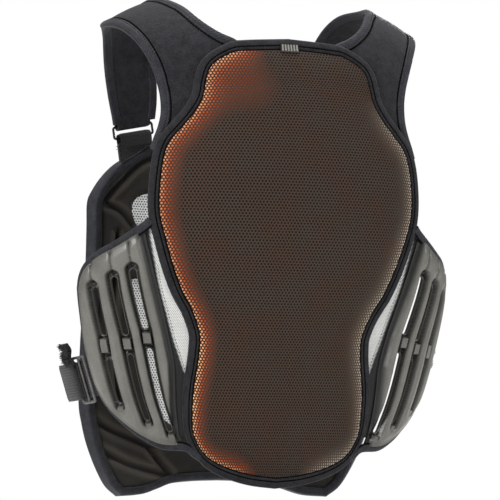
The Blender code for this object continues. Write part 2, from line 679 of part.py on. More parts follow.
def build():
    for item in list(bpy.data.objects):
        bpy.data.objects.remove(item)
    shades = {
        "neoprene": material("neoprene", (0.024, 0.024, 0.031), 0.85),
        "tape": material("binding_tape", (0.020, 0.021, 0.026), 0.75),
        "pad": material("impact_foam", (0.46, 0.09, 0.02), 0.6),
        "cover": material("cover_mesh", (0.045, 0.028, 0.022), 0.8),
        "label": material("woven_label", (0.05, 0.05, 0.05), 0.8),
        "mesh": material("white_mesh", (0.72, 0.72, 0.72), 0.8),
        "wing": material("moulded_wing", (0.16, 0.16, 0.15), 0.5),
        "foam": material("chest_foam", (0.018, 0.015, 0.013), 0.8),
        "shell": material("white_shell", (0.75, 0.75, 0.75), 0.4),
        "ring": material("black_ring", (0.02, 0.02, 0.02), 0.4),
        "slide": material("grey_slide", (0.25, 0.25, 0.24), 0.4),
        "webbing": material("webbing", (0.04, 0.035, 0.038), 0.8),
    }
    make_back(shades)
    make_chest(shades)
    for side in (-1, 1):
        make_shoulder(side, shades)
        make_gusset(side, shades)
        make_wing(side, shades)
        make_front_strap(side, shades)
        make_chest_webbing(side, shades)
        make_side_slide(side, shades)
        make_chest_tab(side, shades)


build()
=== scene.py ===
"""Looks of a motocross body protector vest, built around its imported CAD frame.

Metres, +Z up, +Y the way the wearer faces, +X the wearer's right. Every soft layer is draped on
one torso form. Pattern pieces are drawn flat, in millimetres: on the back and wings as (girth from
the spine, height), and over the shoulders and on the chest as (side distance, distance along the
cloth). A piece's UV map is its flat pattern in metres, so a weave follows the cloth.
"""

import math

import bmesh
import bpy
import numpy as np
from mathutils import Matrix, Vector
from mathutils.geometry import delaunay_2d_cdt


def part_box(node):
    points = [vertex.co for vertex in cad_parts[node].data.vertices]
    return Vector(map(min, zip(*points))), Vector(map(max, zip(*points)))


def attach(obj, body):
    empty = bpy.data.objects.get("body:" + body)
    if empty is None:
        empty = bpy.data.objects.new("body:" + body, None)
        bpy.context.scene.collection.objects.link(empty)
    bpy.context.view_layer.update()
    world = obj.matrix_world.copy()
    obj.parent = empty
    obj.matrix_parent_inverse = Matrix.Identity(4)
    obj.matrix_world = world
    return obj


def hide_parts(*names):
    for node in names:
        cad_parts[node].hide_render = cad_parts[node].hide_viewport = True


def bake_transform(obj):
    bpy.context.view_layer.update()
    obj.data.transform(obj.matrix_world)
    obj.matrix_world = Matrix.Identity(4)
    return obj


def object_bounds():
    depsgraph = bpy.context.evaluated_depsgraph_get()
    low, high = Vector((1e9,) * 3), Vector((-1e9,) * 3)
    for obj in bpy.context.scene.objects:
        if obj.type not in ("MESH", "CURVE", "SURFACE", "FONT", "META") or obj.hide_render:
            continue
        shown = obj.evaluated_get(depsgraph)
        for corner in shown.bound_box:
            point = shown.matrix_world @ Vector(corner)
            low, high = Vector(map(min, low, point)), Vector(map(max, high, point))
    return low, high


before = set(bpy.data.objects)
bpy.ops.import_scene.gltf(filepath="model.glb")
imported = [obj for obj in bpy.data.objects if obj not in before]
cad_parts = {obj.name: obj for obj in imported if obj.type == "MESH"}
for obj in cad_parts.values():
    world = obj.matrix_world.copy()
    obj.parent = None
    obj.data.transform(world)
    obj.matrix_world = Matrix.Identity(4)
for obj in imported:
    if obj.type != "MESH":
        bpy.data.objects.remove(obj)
CAD_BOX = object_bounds()

MM = 0.001

# Torso form: superellipse sections under a rounded shoulder cap.
SECTION_POWER = 2.3
CAP_POWER = 2.2
CAP_BASE_Z = -0.097
CAP_HEIGHT = 0.1115
FORM_Z = (-0.54, -0.48, -0.42, -0.36, -0.30, -0.25, -0.20, -0.15, -0.097)
FORM_HALF_WIDTH = (0.130, 0.146, 0.174, 0.192, 0.204, 0.205, 0.205, 0.205, 0.205)
FORM_BACK_DEPTH = (0.044, 0.061, 0.069, 0.076, 0.092, 0.106, 0.112, 0.108, 0.099)
FORM_FRONT_DEPTH = (0.108, 0.112, 0.114, 0.114, 0.113, 0.111, 0.108, 0.102, 0.092)
FRONT_HALF_WIDTH = 0.205
GIRTH_HALF_WIDTH = 0.205
GIRTH_DEPTH = 0.105
OVER_SHOULDER = 0.280
RIDGE = OVER_SHOULDER / 2

# Layers: heights above the form of each layer's inner and outer faces.
LINER = (0.0002, 0.0026)
MESH_GUSSET = (0.0014, 0.0022)
PAD_FLOOR = 0.0035
COVER_WALL = 0.0012
COVER_EDGE = 0.0062
COVER_CROWN = 0.0086
CROWN_REACH = 0.056
BINDING = (0.0004, 0.0084)
HARNESS = (0.0002, 0.0036)
CHEST_FOAM = (0.0020, 0.0130)
CHEST_SHELL = (0.0142, 0.0175)
SEAM_GAP = 0.0005

# Back panel half outline, top centre to bottom centre (girth, height).
BORDER_OUTER = [(0, -48), (50, -51), (68, -54), (88, -65), (98, -77), (103, -94), (106, -109),
                (115, -124), (128, -139), (140, -153), (147, -169), (151, -190), (153, -218),
                (151, -240), (144, -264), (135, -290), (125, -316), (114, -337), (108, -357),
                (109, -370), (113, -387), (120, -408), (127, -432), (133, -455), (131, -472),
                (121, -488), (104, -499), (75, -508), (40, -514), (0, -517)]
BORDER_WIDTH = 0.0115

# Wing edges and slots (girth, height). Each column of two slots has a bridge in the middle.
WING_REAR = [(157, -243), (152, -262), (145, -285), (137, -318), (131, -353), (128, -387),
             (131, -412), (137, -440), (141, -462), (139, -478)]
WING_TOP = [(157, -243), (170, -252), (186, -262), (203, -271), (219, -283), (228, -295),
            (233, -308)]
WING_FRONT = [(233, -308), (236, -336), (240, -360), (241, -385), (240, -408)]
WING_LOWER = [(240, -408), (234, -425), (224, -440), (209, -455), (192, -467), (170, -476),
              (139, -478)]
TOP_TAPE_LEAD = [(152, -238)]
LOW_TAPE_TAIL = [(129, -484), (119, -489)]
# Line on the gusset where the white mesh ends and the wing's dark flange begins.
GUSSET_LINE = [(152, -243), (148, -262), (142, -285), (139, -300), (135, -318), (131, -335),
               (128, -350), (125, -365), (121, -381), (118, -395), (114, -406)]
SLOT_WIDTH = 0.0070
SLOT_COLUMNS = [[(208, -308), (205, -358), (206, -382), (206, -428)],
                [(185, -298), (178, -358), (177.6, -378), (177, -446)],
                [(165, -290), (155, -352), (154, -372), (152, -458)]]
WING_BINDING = 0.0085
WING_FLOOR = 0.0030
CHANNEL_LIFT = 0.0044
VANE_RISE = 0.0084

# Shoulder strap edges, from the back over the ridge to the ring (side distance, distance along).
NECK_EDGE = [(58, 37), (71, 43), (83, 52), (93, 64), (101, 80), (112, 105), (118, 140), (106, 172),
             (95, 210), (87, 250), (84, 270), (84.5, 290), (85, 297)]
NECK_LEAD = [(46, 29), (52, 33)]
ARMHOLE_EDGE = [(147, -70), (144, -60), (139, -46), (136, -32), (136, -15), (139, 2), (145, 20),
                (153, 42), (163, 72), (171, 108), (173, 140), (165, 172), (156, 206), (148, 250),
                (142, 278), (136, 299), (134, 307)]
EDGE_BINDING = 0.0092

# Chest half outline, neck centre to bottom centre (side distance, distance along the cloth).
CHEST_TOP = [(0, 378), (30, 372), (54, 352), (68, 330), (84, 325), (105, 337), (124, 349),
             (138, 363), (149, 379), (154, 392), (154, 420), (155, 470), (160, 540), (162, 605),
             (158, 632), (152, 654), (142, 678), (131, 697), (118, 708)]
CHEST_LOW = [(118, 708), (93, 706), (74, 700), (57, 694), (30, 691), (0, 690)]
CHEST_TAPE = 0.009
CHEST_WINDOWS = [[(62, 380), (90, 379), (104, 390), (100, 412), (76, 428), (60, 422)],
                 [(106, 474), (86, 476), (70, 524), (54, 577), (43, 618), (54, 630), (70, 616),
                  (86, 572), (101, 526), (113, 492)]]
# Panel lines of the shell's outer face and the vented keel between them.
SHELL_GROOVES = [[(0, 414), (34, 408), (60, 438), (44, 520), (26, 600), (0, 650)],
                 [(68, 338), (112, 372), (132, 430), (128, 520), (98, 620), (70, 692)]]
KEEL_VENTS = [(0, 430), (22, 426), (38, 444), (30, 500), (14, 560), (0, 580)]
# Grooves pressed into the foam's inner face.
FOAM_GROOVES = [[(30, 392), (58, 356), (88, 341), (123, 369), (141, 388)],
                [(142, 391), (120, 400), (106, 413)],
                [(159, 622), (133, 637), (102, 648), (84, 655)],
                [(146, 659), (108, 675), (62, 686)],
                [(86, 655), (72, 672), (60, 684)],
                [(124, 424), (129, 500), (126, 560), (118, 620)],
                [(0, 402), (24, 440), (30, 520), (22, 600), (0, 640)]]

# Webbing, rings and slides.
CHEST_WEBBING = [(88, 319), (108, 322), (128, 327), (124, 347), (105, 335), (86, 324)]
WEBBING_WIDTH = 0.040
WEBBING_THICK = 0.0016
RING_SIZE = (0.052, 0.0150)
RING_BAR = 0.0026
SLIDE_SIZE = (0.052, 0.0280)
SLIDE_BAR = 0.0030
SLIDE_CENTRE = (0.1905, 0.0080, -0.4040)
SLIDE_UP = (0.290, 0.0, 0.957)
SLIDE_FORWARD = (0.200, 0.980, 0.0)
WING_TAB = [(-0.0172, -0.0055), (-0.0135, -0.0045), (-0.0080, -0.0036)]
STRAP_RUN = [(0.0500, -0.0149), (0.0400, -0.0095), (0.0300, -0.0060), (0.0200, -0.0042)]
STRAP_TAIL = [(0.0180, 0.0036), (0.0300, 0.0030), (0.0430, 0.0012)]
HOOK_TAB = [(0.0190, 0.0032), (0.0265, 0.0066), (0.0345, 0.0040), (0.0420, 0.0064)]
CHEST_TAB = [(0.0530, -0.0208), (0.0596, -0.0254), (0.0660, -0.0300)]
LOOP_RADIUS = 0.0031
SWING_LOOP_RADIUS = 0.0044
LOOP_STEP = 0.0012
STRAP_STEP = 0.0014

LABEL_DROP = 0.0080
BORDER_SEAM = 0.0078
# Gap between a binding and its painted seam shadow strip.
SHADOW_STRIP_GAP = 0.0003
STITCH_PITCH = 0.0034
STITCH_LENGTH = 0.0024
THREAD_WIDTH = 0.0006

# Mesh density of draped pieces, and the step of the smaller outlines.
COARSE = 0.008
LINER_GRID = 0.006
COVER_GRID = 0.0055
FINE = 0.004
OUTLINE_STEP = 0.003
MOULDED = 0.0024
GUSSET_GRID = 0.0016
WING_GRID = 0.0015
LABEL_GRID = 0.0015


# ---------------------------------------------------------------- form and charts

def eased(value, stations, sizes):
    """Smooth curve through a form's sizes at its height stations."""
    value = np.asarray(value, float)
    stations = np.asarray(stations)
    sizes = np.asarray(sizes)
    slopes = np.gradient(sizes, stations)
    i = np.clip(np.searchsorted(stations, value) - 1, 0, len(stations) - 2)
    step = stations[i + 1] - stations[i]
    t = np.clip((value - stations[i]) / step, 0, 1)
    return ((2 * t ** 3 - 3 * t ** 2 + 1) * sizes[i] + (t ** 3 - 2 * t ** 2 + t) * step * slopes[i]
            + (3 * t ** 2 - 2 * t ** 3) * sizes[i + 1] + (t ** 3 - t ** 2) * step * slopes[i + 1])


def girth_table():
    """Quarter of the reference section: girth against its side and depth fractions."""
    turn = np.linspace(0, math.pi / 2, 2001)
    side = np.sin(turn) ** (2 / SECTION_POWER)
    depth = np.cos(turn) ** (2 / SECTION_POWER)
    steps = np.hypot(np.diff(GIRTH_HALF_WIDTH * side), np.diff(GIRTH_DEPTH * depth))
    return np.concatenate([[0], np.cumsum(steps)]), side, depth


GIRTH, SIDE_FRACTION, DEPTH_FRACTION = girth_table()


def wrap_point(u, z):
    """Back and sides of the form at girth u from the spine and height z."""
    low = np.minimum(z, CAP_BASE_Z)
    rise = np.clip((z - CAP_BASE_Z) / CAP_HEIGHT, 0, 1)
    shrink = (1 - rise ** CAP_POWER) ** (1 / SECTION_POWER)
    side = np.interp(np.abs(u), GIRTH, SIDE_FRACTION) * np.sign(u)
    depth = np.interp(np.abs(u), GIRTH, DEPTH_FRACTION)
    x = eased(low, FORM_Z, FORM_HALF_WIDTH) * side * shrink
    y = -eased(low, FORM_Z, FORM_BACK_DEPTH) * depth * shrink
    return np.stack([x, y, z + 0 * x], -1)


def drape_point(x, q):
    """Up the back, over the shoulder and down the chest at side distance x, path length q."""
    turn = np.clip(math.pi * q / OVER_SHOULDER, 0, math.pi)
    fall = np.where(q < 0, q, np.where(q > OVER_SHOULDER, OVER_SHOULDER - q, 0))
    z = CAP_BASE_Z + fall
    front = q > RIDGE
    width = np.where(front, FRONT_HALF_WIDTH, eased(z, FORM_Z, FORM_HALF_WIDTH))
    depth = np.where(front, eased(z, FORM_Z, FORM_FRONT_DEPTH), -eased(z, FORM_Z, FORM_BACK_DEPTH))
    room = np.clip(1 - (np.abs(x) / width) ** SECTION_POWER, 1e-9, 1)
    y = depth * room ** (1 / SECTION_POWER) * np.abs(np.cos(turn)) ** (2 / SECTION_POWER)
    top = CAP_HEIGHT * room ** (1 / CAP_POWER) * np.sin(turn) ** (2 / CAP_POWER)
    return np.stack([x + 0 * q, y, z + top], -1)


def unit(vectors):
    return vectors / np.linalg.norm(vectors, axis=-1, keepdims=True)


def outward_of(chart, a, b):
    """Outward normals of a chart."""
    d = 4e-4
    return unit(np.cross(chart(a + d, b) - chart(a - d, b), chart(a, b + d) - chart(a, b - d)))


def layer(chart, a, b, lift):
    """Points of a chart lifted off the form along its outward normal."""
    a = np.asarray(a, float)
    b = np.asarray(b, float)
    return chart(a, b) + outward_of(chart, a, b) * np.broadcast_to(lift, a.shape)[..., None]


def drape_length(x, z):
    """Path length q of a point on the back of the shoulder at height z."""
    if z <= CAP_BASE_Z:
        return z - CAP_BASE_Z
    room = 1 - (abs(x) / FRONT_HALF_WIDTH) ** SECTION_POWER
    rise = (z - CAP_BASE_Z) / (CAP_HEIGHT * room ** (1 / CAP_POWER))
    return math.asin(min(1.0, rise ** (CAP_POWER / 2))) * OVER_SHOULDER / math.pi


# ---------------------------------------------------------------- flat outlines

def metres(points):
    return [(a * MM, b * MM) for a, b in points]


def mirrored(points):
    return [(-a, b) for a, b in points]


def sided(points, side):
    return np.array(points) * np.array([side, 1])


def looped(line):
    """A closed line with its first point again at its end."""
    return np.vstack([line, line[:1]])


def evenly(dense, step, closed=False):
    """A dense line cut again into equal steps."""
    dense = looped(np.array(dense, float)) if closed else np.array(dense, float)
    run = np.concatenate([[0], np.cumsum(np.linalg.norm(np.diff(dense, axis=0), axis=1))])
    marks = np.linspace(0, run[-1], max(2, round(run[-1] / step) + 1))
    line = np.stack([np.interp(marks, run, dense[:, i]) for i in range(dense.shape[1])], -1)
    return line[:-1] if closed else line


def smooth(points, step, closed=False):
    """Catmull-Rom curve through the points, cut into equal steps."""
    p = np.array(points, float)
    if closed:
        padded = np.vstack([p[-1], p, p[0], p[1]])
    else:
        padded = np.vstack([2 * p[0] - p[1], p, 2 * p[-1] - p[-2]])
    dense = []
    for p0, p1, p2, p3 in zip(padded, padded[1:], padded[2:], padded[3:]):
        for t in np.linspace(0, 1, 16, endpoint=False):
            dense.append(0.5 * (2 * p1 + (p2 - p0) * t + (2 * p0 - 5 * p1 + 4 * p2 - p3) * t ** 2
                                + (3 * p1 - p0 - 3 * p2 + p3) * t ** 3))
    if not closed:
        dense.append(p[-1])
    return evenly(dense, step, closed)


def joined(*edges):
    """Closed outline from open edges that meet end to end."""
    points = []
    for edge in edges:
        for point in edge:
            if not points or np.linalg.norm(np.subtract(point, points[-1])) > 1e-5:
                points.append(tuple(point))
    if np.linalg.norm(np.subtract(points[0], points[-1])) < 1e-5:
        points.pop()
    return np.array(points)


def anticlockwise(points):
    p = np.array(points)
    area = np.sum(p[:, 0] * np.roll(p[:, 1], -1) - p[:, 1] * np.roll(p[:, 0], -1))
    return p if area > 0 else p[::-1]


def whole(half):
    """Closed outline from its right half and that half's mirror image."""
    return anticlockwise(joined(half, mirrored(half[::-1])))


def inset(points, distance):
    """Closed outline moved inward by a distance, with mitred corners."""
    p = anticlockwise(points)
    ahead = unit(np.roll(p, -1, 0) - p)
    behind = np.roll(ahead, 1, 0)
    both = ahead + behind
    inward = unit(np.stack([-both[:, 1], both[:, 0]], -1))
    straight = -behind[:, 1] * inward[:, 0] + behind[:, 0] * inward[:, 1]
    return p + inward * (distance / np.clip(straight, 0.5, 1))[:, None]


def leftward(path, closed=False):
    """Unit vectors to the left of a flat path at each of its points."""
    along = unit(np.roll(path, -1, 0) - np.roll(path, 1, 0) if closed
                 else np.gradient(path, axis=0))
    return np.stack([-along[:, 1], along[:, 0]], -1)


def beside(path, distance):
    """Open path moved sideways, to its left for a positive distance."""
    p = np.array(path)
    return p + leftward(p) * distance


def inside(points, outline):
    """True for each point that lies inside a closed outline."""
    x, y = np.array(points).T
    ax, ay = np.array(outline).T
    bx, by = np.roll(ax, -1), np.roll(ay, -1)
    spans = (ay[None] > y[:, None]) != (by[None] > y[:, None])
    rise = np.where(by == ay, 1e-12, by - ay)
    cross = (bx - ax)[None] * (y[:, None] - ay[None]) / rise[None] + ax[None]
    return (np.sum(spans & (x[:, None] < cross), axis=1) % 2) == 1


def line_distance(points, line, closed=False):
    """Distance of each point from a line."""
    line = np.array(line)
    ends = np.roll(line, -1, 0) if closed else line[1:]
    starts = line if closed else line[:-1]
    p = np.array(points)[:, None]
    span = (ends - starts)[None]
    t = np.clip(np.sum((p - starts[None]) * span, -1)
                / np.maximum(np.sum(span ** 2, -1), 1e-14), 0, 1)
    return np.min(np.linalg.norm(p - starts[None] - t[..., None] * span, axis=-1), axis=1)


def step_up(value, low, high):
    """Smooth step from 0 at low to 1 at high."""
    t = np.clip((value - low) / (high - low), 0, 1)
    return t * t * (3 - 2 * t)


def stadium(start, end, width, sides=8):
    """Slot outline with round ends."""
    start, end = np.array(start), np.array(end)
    along = unit(end - start)
    heading = math.atan2(along[1], along[0])
    points = []
    for centre, first in ((end - along * width / 2, heading - math.pi / 2),
                          (start + along * width / 2, heading + math.pi / 2)):
        for k in range(sides + 1):
            angle = first + math.pi * k / sides
            points.append(centre + width / 2 * np.array([math.cos(angle), math.sin(angle)]))
    return evenly(points, 0.0016, closed=True)


def full_border(step):
    return whole(smooth(metres(BORDER_OUTER), step))


def named(stem, side):
    return f"{stem}_{'right' if side > 0 else 'left'}"


# ---------------------------------------------------------------- pieces and motions

def in_scene(name, data):
    made = bpy.data.objects.new(name, data)
    bpy.context.scene.collection.objects.link(made)
    return made


def on(body):
    """A ride on one body, for placed() and for the painted seam shadow strips."""
    return lambda piece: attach(piece, body)


def cross_shoulder(piece):
    """Bakes a piece's placement into its mesh and leaves it at the origin, riding on no body."""
    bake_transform(piece)


def placed(piece, ride, nodes):
    """Gives a piece its motion and hides the CAD nodes it replaces."""
    ride(piece)
    if nodes:
        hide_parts(*nodes)


# ---------------------------------------------------------------- meshes

def add_piece(name, vertices, faces, finish, corners=None, crease=40):
    """A closed piece at the origin, faces outward, with its flat pattern as its UV map."""
    mesh = bpy.data.meshes.new(name)
    mesh.from_pydata([tuple(v) for v in vertices], [], faces)
    if corners is not None:
        pattern = mesh.uv_layers.new(name="pattern")
        pattern.data.foreach_set("uv", np.array(corners, np.float32).ravel())
    shell = bmesh.new()
    shell.from_mesh(mesh)
    bmesh.ops.recalc_face_normals(shell, faces=shell.faces)
    shell.to_mesh(mesh)
    shell.free()
    mesh.shade_smooth()
    mesh.set_sharp_from_angle(angle=math.radians(crease))
    mesh.materials.append(finish)
    return in_scene(name, mesh)


def flat_mesh(outline, holes=(), grid=FINE, rims=(), tracks=(), rows_beside=()):
    """Flat points and triangles inside an outline and outside its holes, with rows at the rims
    and beside open tracks."""
    loops = [anticlockwise(outline)] + [anticlockwise(hole) for hole in holes]
    low, high = loops[0].min(0), loops[0].max(0)
    rows = np.arange(math.floor(low[1] / grid), math.ceil(high[1] / grid) + 1)
    columns = np.arange(math.floor(low[0] / grid), math.ceil(high[0] / grid) + 1) * grid
    lattice = np.array([(c + (grid / 2 if r % 2 else 0), r * grid) for r in rows for c in columns])
    lattice = lattice[inside(lattice, loops[0])]
    reach = (rims[-1] if rims else 0) + 0.55 * grid
    extra = []
    for k, loop in enumerate(loops):
        if k:
            lattice = lattice[~inside(lattice, loop)]
        lattice = lattice[line_distance(lattice, loop, closed=True) > reach]
        extra += [inset(loop, -rim if k else rim) for rim in rims]
    for track in tracks:
        clear = line_distance(lattice, track) > rows_beside[-1] + 0.55 * grid
        lattice = lattice[clear]
    laid = []
    for track in tracks:
        for offset in [0] + [s * row for row in rows_beside for s in (-1, 1)]:
            row = beside(track, offset)
            keep = inside(row, loops[0]) & (line_distance(row, loops[0], closed=True) > reach)
            for loop in loops[1:]:
                keep &= ~inside(row, loop) & (line_distance(row, loop, closed=True) > reach)
            for other in laid:
                keep &= line_distance(row, other) > rows_beside[-1] * 1.05
            extra.append(row[keep])
        laid.append(track)
    flat = [Vector(p) for group in (*loops, *extra, lattice) for p in group]
    edges = []
    start = 0
    for loop in loops:
        edges += [(start + i, start + (i + 1) % len(loop)) for i in range(len(loop))]
        start += len(loop)
    points, _, triangles = delaunay_2d_cdt(flat, edges, [], 0, 1e-7)[:3]
    points = np.array([tuple(p) for p in points])
    triangles = np.array(triangles)
    centres = points[triangles].mean(1)
    keep = inside(centres, loops[0])
    for hole in loops[1:]:
        keep &= ~inside(centres, hole)
    triangles = triangles[keep]
    used = np.unique(triangles)
    renumber = np.full(len(points), -1)
    renumber[used] = np.arange(len(used))
    return points[used], renumber[triangles]


def draped(name, chart, flat, inner, outer, finish, crease=40):
    """Closed piece between two lifts over a flat mesh; a lift is a number or an array."""
    points, triangles = flat
    bottom = layer(chart, points[:, 0], points[:, 1], inner)
    top = layer(chart, points[:, 0], points[:, 1], outer)
    count = len(points)
    faces = [tuple(int(i) + count for i in t) for t in triangles]
    faces += [tuple(int(i) for i in t[::-1]) for t in triangles]
    directed = {(int(t[i]), int(t[(i + 1) % 3])) for t in triangles for i in range(3)}
    for a, b in sorted(directed):
        if (b, a) not in directed:
            faces.append((a, b, b + count, a + count))
    corners = [points[i % count] for face in faces for i in face]
    return add_piece(name, np.vstack([bottom, top]), faces, finish, corners, crease)


def sheet_on(name, chart, flat, lift, finish):
    """Open single sheet over a flat mesh, its faces outward."""
    points, triangles = flat
    mesh = bpy.data.meshes.new(name)
    place = layer(chart, points[:, 0], points[:, 1], lift)
    mesh.from_pydata([tuple(p) for p in place], [], [tuple(int(i) for i in t) for t in triangles])
    pattern = mesh.uv_layers.new(name="pattern")
    pattern.data.foreach_set("uv", points[triangles].astype(np.float32).ravel())
    mesh.shade_smooth()
    mesh.materials.append(finish)
    return in_scene(name, mesh)


def swept(name, rows, runs, turns, finish, closed=False, crease=40):
    """Closed piece from rows of section points; runs and turns are its pattern coordinates."""
    count, around = len(rows), len(rows[0])
    faces, corners = [], []
    for i in range(count if closed else count - 1):
        j = (i + 1) % count
        for k in range(around):
            m = (k + 1) % around
            faces.append((i * around + k, i * around + m, j * around + m, j * around + k))
            corners += [(turns[k], runs[i]), (turns[k + 1], runs[i]),
                        (turns[k + 1], runs[i + 1]), (turns[k], runs[i + 1])]
    if not closed:
        for i in (0, count - 1):
            faces.append(tuple(i * around + k for k in range(around)))
            corners += [(turns[k], runs[i]) for k in range(around)]
    return add_piece(name, np.reshape(rows, (-1, 3)), faces, finish, corners, crease)


def rounded_section(left, right, low, high, radius, crown=0.0, steps=4):
    """Rounded rectangle as (sideways, lift) points, its upper face raised to a soft crown."""
    points = []
    for cx, cy, first in ((right - radius, high - radius, 0), (left + radius, high - radius, 90),
                          (left + radius, low + radius, 180), (right - radius, low + radius, 270)):
        for k in range(steps + 1):
            angle = math.radians(first + 90 * k / steps)
            points.append((cx + radius * math.cos(angle), cy + radius * math.sin(angle)))
    points = np.array(points)
    points = evenly(points, (right - left) / 9, closed=True)
    share = 1 - ((points[:, 0] - (left + right) / 2) / ((right - left) / 2)) ** 2
    points[:, 1] += crown * np.clip(share, 0, 1) * (points[:, 1] > (low + high) / 2)
    return points


def grooved(section, middle, depth):
    """The section with a sewn groove pressed into its upper face."""
    dense = evenly(section, 0.0006, closed=True)
    upper = dense[:, 1] > dense[:, 1].max() - 0.0014
    dense[:, 1] -= depth * np.exp(-((dense[:, 0] - middle) / 0.0007) ** 2) * upper
    return dense


def run_lengths(line, closed):
    line = np.array(line)
    ends = looped(line) if closed else line
    steps = np.linalg.norm(np.diff(ends, axis=0), axis=1)
    return np.concatenate([[0], np.cumsum(steps), [np.sum(steps)]])


def band(name, chart, path, section, finish, closed=False, turn=1, crease=40):
    """Bound edge: a section swept along a flat path, to its left or with turn -1 its right."""
    p = np.array(path)
    left = leftward(p, closed) * turn
    rows = np.stack([layer(chart, p[:, 0] + left[:, 0] * s, p[:, 1] + left[:, 1] * s, lift)
                     for s, lift in section], 1)
    return swept(name, rows, run_lengths(p, closed), run_lengths(section, True), finish, closed,
                 crease)


def ribbon(name, path, across, width, thick, finish, crease=40):
    """Woven webbing with rounded selvedges that follows a path of 3-D points."""
    p = np.array(path)
    across = np.array(across)
    normal = unit(np.cross(unit(np.gradient(p, axis=0)), across))
    section = rounded_section(-width / 2, width / 2, -thick / 2, thick / 2, thick * 0.45, steps=3)
    rows = np.stack([p + across * s + normal * lift for s, lift in section], 1)
    return swept(name, rows, run_lengths(p, False), run_lengths(section, True), finish,
                 crease=crease)


def point_value(piece, name, values):
    """A value at each point of a piece, which its material reads."""
    attribute = piece.data.attributes.new(name, "FLOAT", "POINT")
    attribute.data.foreach_set("value", np.asarray(values, np.float32))


def coordinates(piece):
    co = np.zeros(len(piece.data.vertices) * 3, np.float32)
    piece.data.vertices.foreach_get("co", co)
    return co.reshape(-1, 3).astype(float)


def in_plane(centre, first, second, flat, step):
    """A flat profile, smoothed and set in the plane of two axes."""
    return [tuple(centre + first * a + second * b) for a, b in smooth(flat, step)]


def arc(bar, radius, first, last, steps):
    """Points of an arc round a bar, in its (forward, outward) plane."""
    angles = np.radians(np.linspace(first, last, steps + 1))
    return [(bar[0] + radius * math.cos(a), bar[1] + radius * math.sin(a)) for a in angles]


# ---------------------------------------------------------------- materials

def colour(code):
    """Linear RGBA of an sRGB hex colour."""
    channels = [int(code[i:i + 2], 16) / 255 for i in (1, 3, 5)]
    return (*[c / 12.92 if c <= 0.04045 else ((c + 0.055) / 1.055) ** 2.4 for c in channels], 1)


def node(tree, kind, inputs=(), **settings):
    """One node with its settings; inputs holds values or other nodes' outputs by socket."""
    made = tree.nodes.new(kind)
    for key, value in settings.items():
        setattr(made, key, value)
    for socket, value in dict(inputs).items():
        if isinstance(value, bpy.types.NodeSocket):
            tree.links.new(value, made.inputs[socket])
        else:
            made.inputs[socket].default_value = value
    return made


def new_finish(name, roughness, **sockets):
    """A material, its tree and its shader, with values set on the shader's own sockets."""
    made = bpy.data.materials.new(name)
    made.use_nodes = True
    shader = made.node_tree.nodes["Principled BSDF"]
    shader.inputs["Roughness"].default_value = roughness
    for socket, value in sockets.items():
        shader.inputs[socket.replace("_", " ")].default_value = value
    return made, made.node_tree, shader


def layered(tree, tone, *over):
    """A colour with others laid over it, each as far as its mask says."""
    for mask, top in over:
        low, high = (colour(c) if isinstance(c, str) else c for c in (tone, top))
        mix = node(tree, "ShaderNodeMix", {0: mask, 6: low, 7: high}, data_type="RGBA")
        tone = mix.outputs[2]
    return tone


def mottled(tree, place, dark, light, patch, grain):
    """Colour that drifts between two tones in patches and in fine grain, sizes in metres."""
    drift = node(tree, "ShaderNodeTexNoise", {"Vector": place, "Scale": 1 / patch, "Detail": 3.0})
    speck = node(tree, "ShaderNodeTexNoise", {"Vector": place, "Scale": 1 / grain, "Detail": 2.0})
    share = node(tree, "ShaderNodeMath", {0: drift.outputs[0], 1: speck.outputs[0]})
    spread = node(tree, "ShaderNodeMapRange", {0: share.outputs[0], 1: 0.75, 2: 1.25})
    return layered(tree, dark, (spread.outputs[0], light)), speck.outputs[0]


def staggered_dots(tree, place, pitch, radius, soft):
    """1 inside the dots of a staggered grid and 0 outside; sizes in metres."""
    scaled = node(tree, "ShaderNodeVectorMath",
                  {0: place, 1: (1 / pitch[0], 1 / pitch[1], 0)}, operation="MULTIPLY")
    nearest = []
    for shift in (0.0, 0.5):
        moved = node(tree, "ShaderNodeVectorMath", {0: scaled.outputs[0], 1: (shift, shift, 0)})
        cell = node(tree, "ShaderNodeVectorMath", {0: moved.outputs[0]}, operation="FRACTION")
        centred = node(tree, "ShaderNodeVectorMath", {0: cell.outputs[0], 1: (-0.5, -0.5, 0)})
        real = node(tree, "ShaderNodeVectorMath",
                    {0: centred.outputs[0], 1: (pitch[0], pitch[1], 0)}, operation="MULTIPLY")
        nearest.append(node(tree, "ShaderNodeVectorMath", {0: real.outputs[0]},
                            operation="LENGTH").outputs[1])
    distance = node(tree, "ShaderNodeMath", {0: nearest[0], 1: nearest[1]}, operation="MINIMUM")
    mask = node(tree, "ShaderNodeMapRange", {0: distance.outputs[0], 1: radius + soft,
                                             2: radius - soft}, interpolation_type="SMOOTHSTEP")
    return mask.outputs[0]


def surface(tree, shader, tint, height=None, depth=0.0):
    """Gives a shader its colour and its fine relief, whose depth is in metres."""
    tree.links.new(tint, shader.inputs["Base Color"])
    if height is not None:
        bump = node(tree, "ShaderNodeBump", {"Height": height, "Distance": depth,
                                             "Strength": 1.0})
        tree.links.new(bump.outputs[0], shader.inputs["Normal"])


def worn(tree, shader, place, scale, detail, low, high, glossy, matt):
    """Roughness that drifts where the surface is handled."""
    rub = node(tree, "ShaderNodeTexNoise", {"Vector": place, "Scale": scale, "Detail": detail})
    rough = node(tree, "ShaderNodeMapRange", {0: rub.outputs[0], 1: low, 2: high, 3: glossy,
                                              4: matt})
    tree.links.new(rough.outputs[0], shader.inputs["Roughness"])


def pattern_place(tree):
    return node(tree, "ShaderNodeTexCoord").outputs["UV"]


def body_place(tree):
    return node(tree, "ShaderNodeTexCoord").outputs["Object"]


def value_at(tree, name):
    """A value that the piece carries at its points."""
    return node(tree, "ShaderNodeAttribute", attribute_name=name).outputs["Fac"]


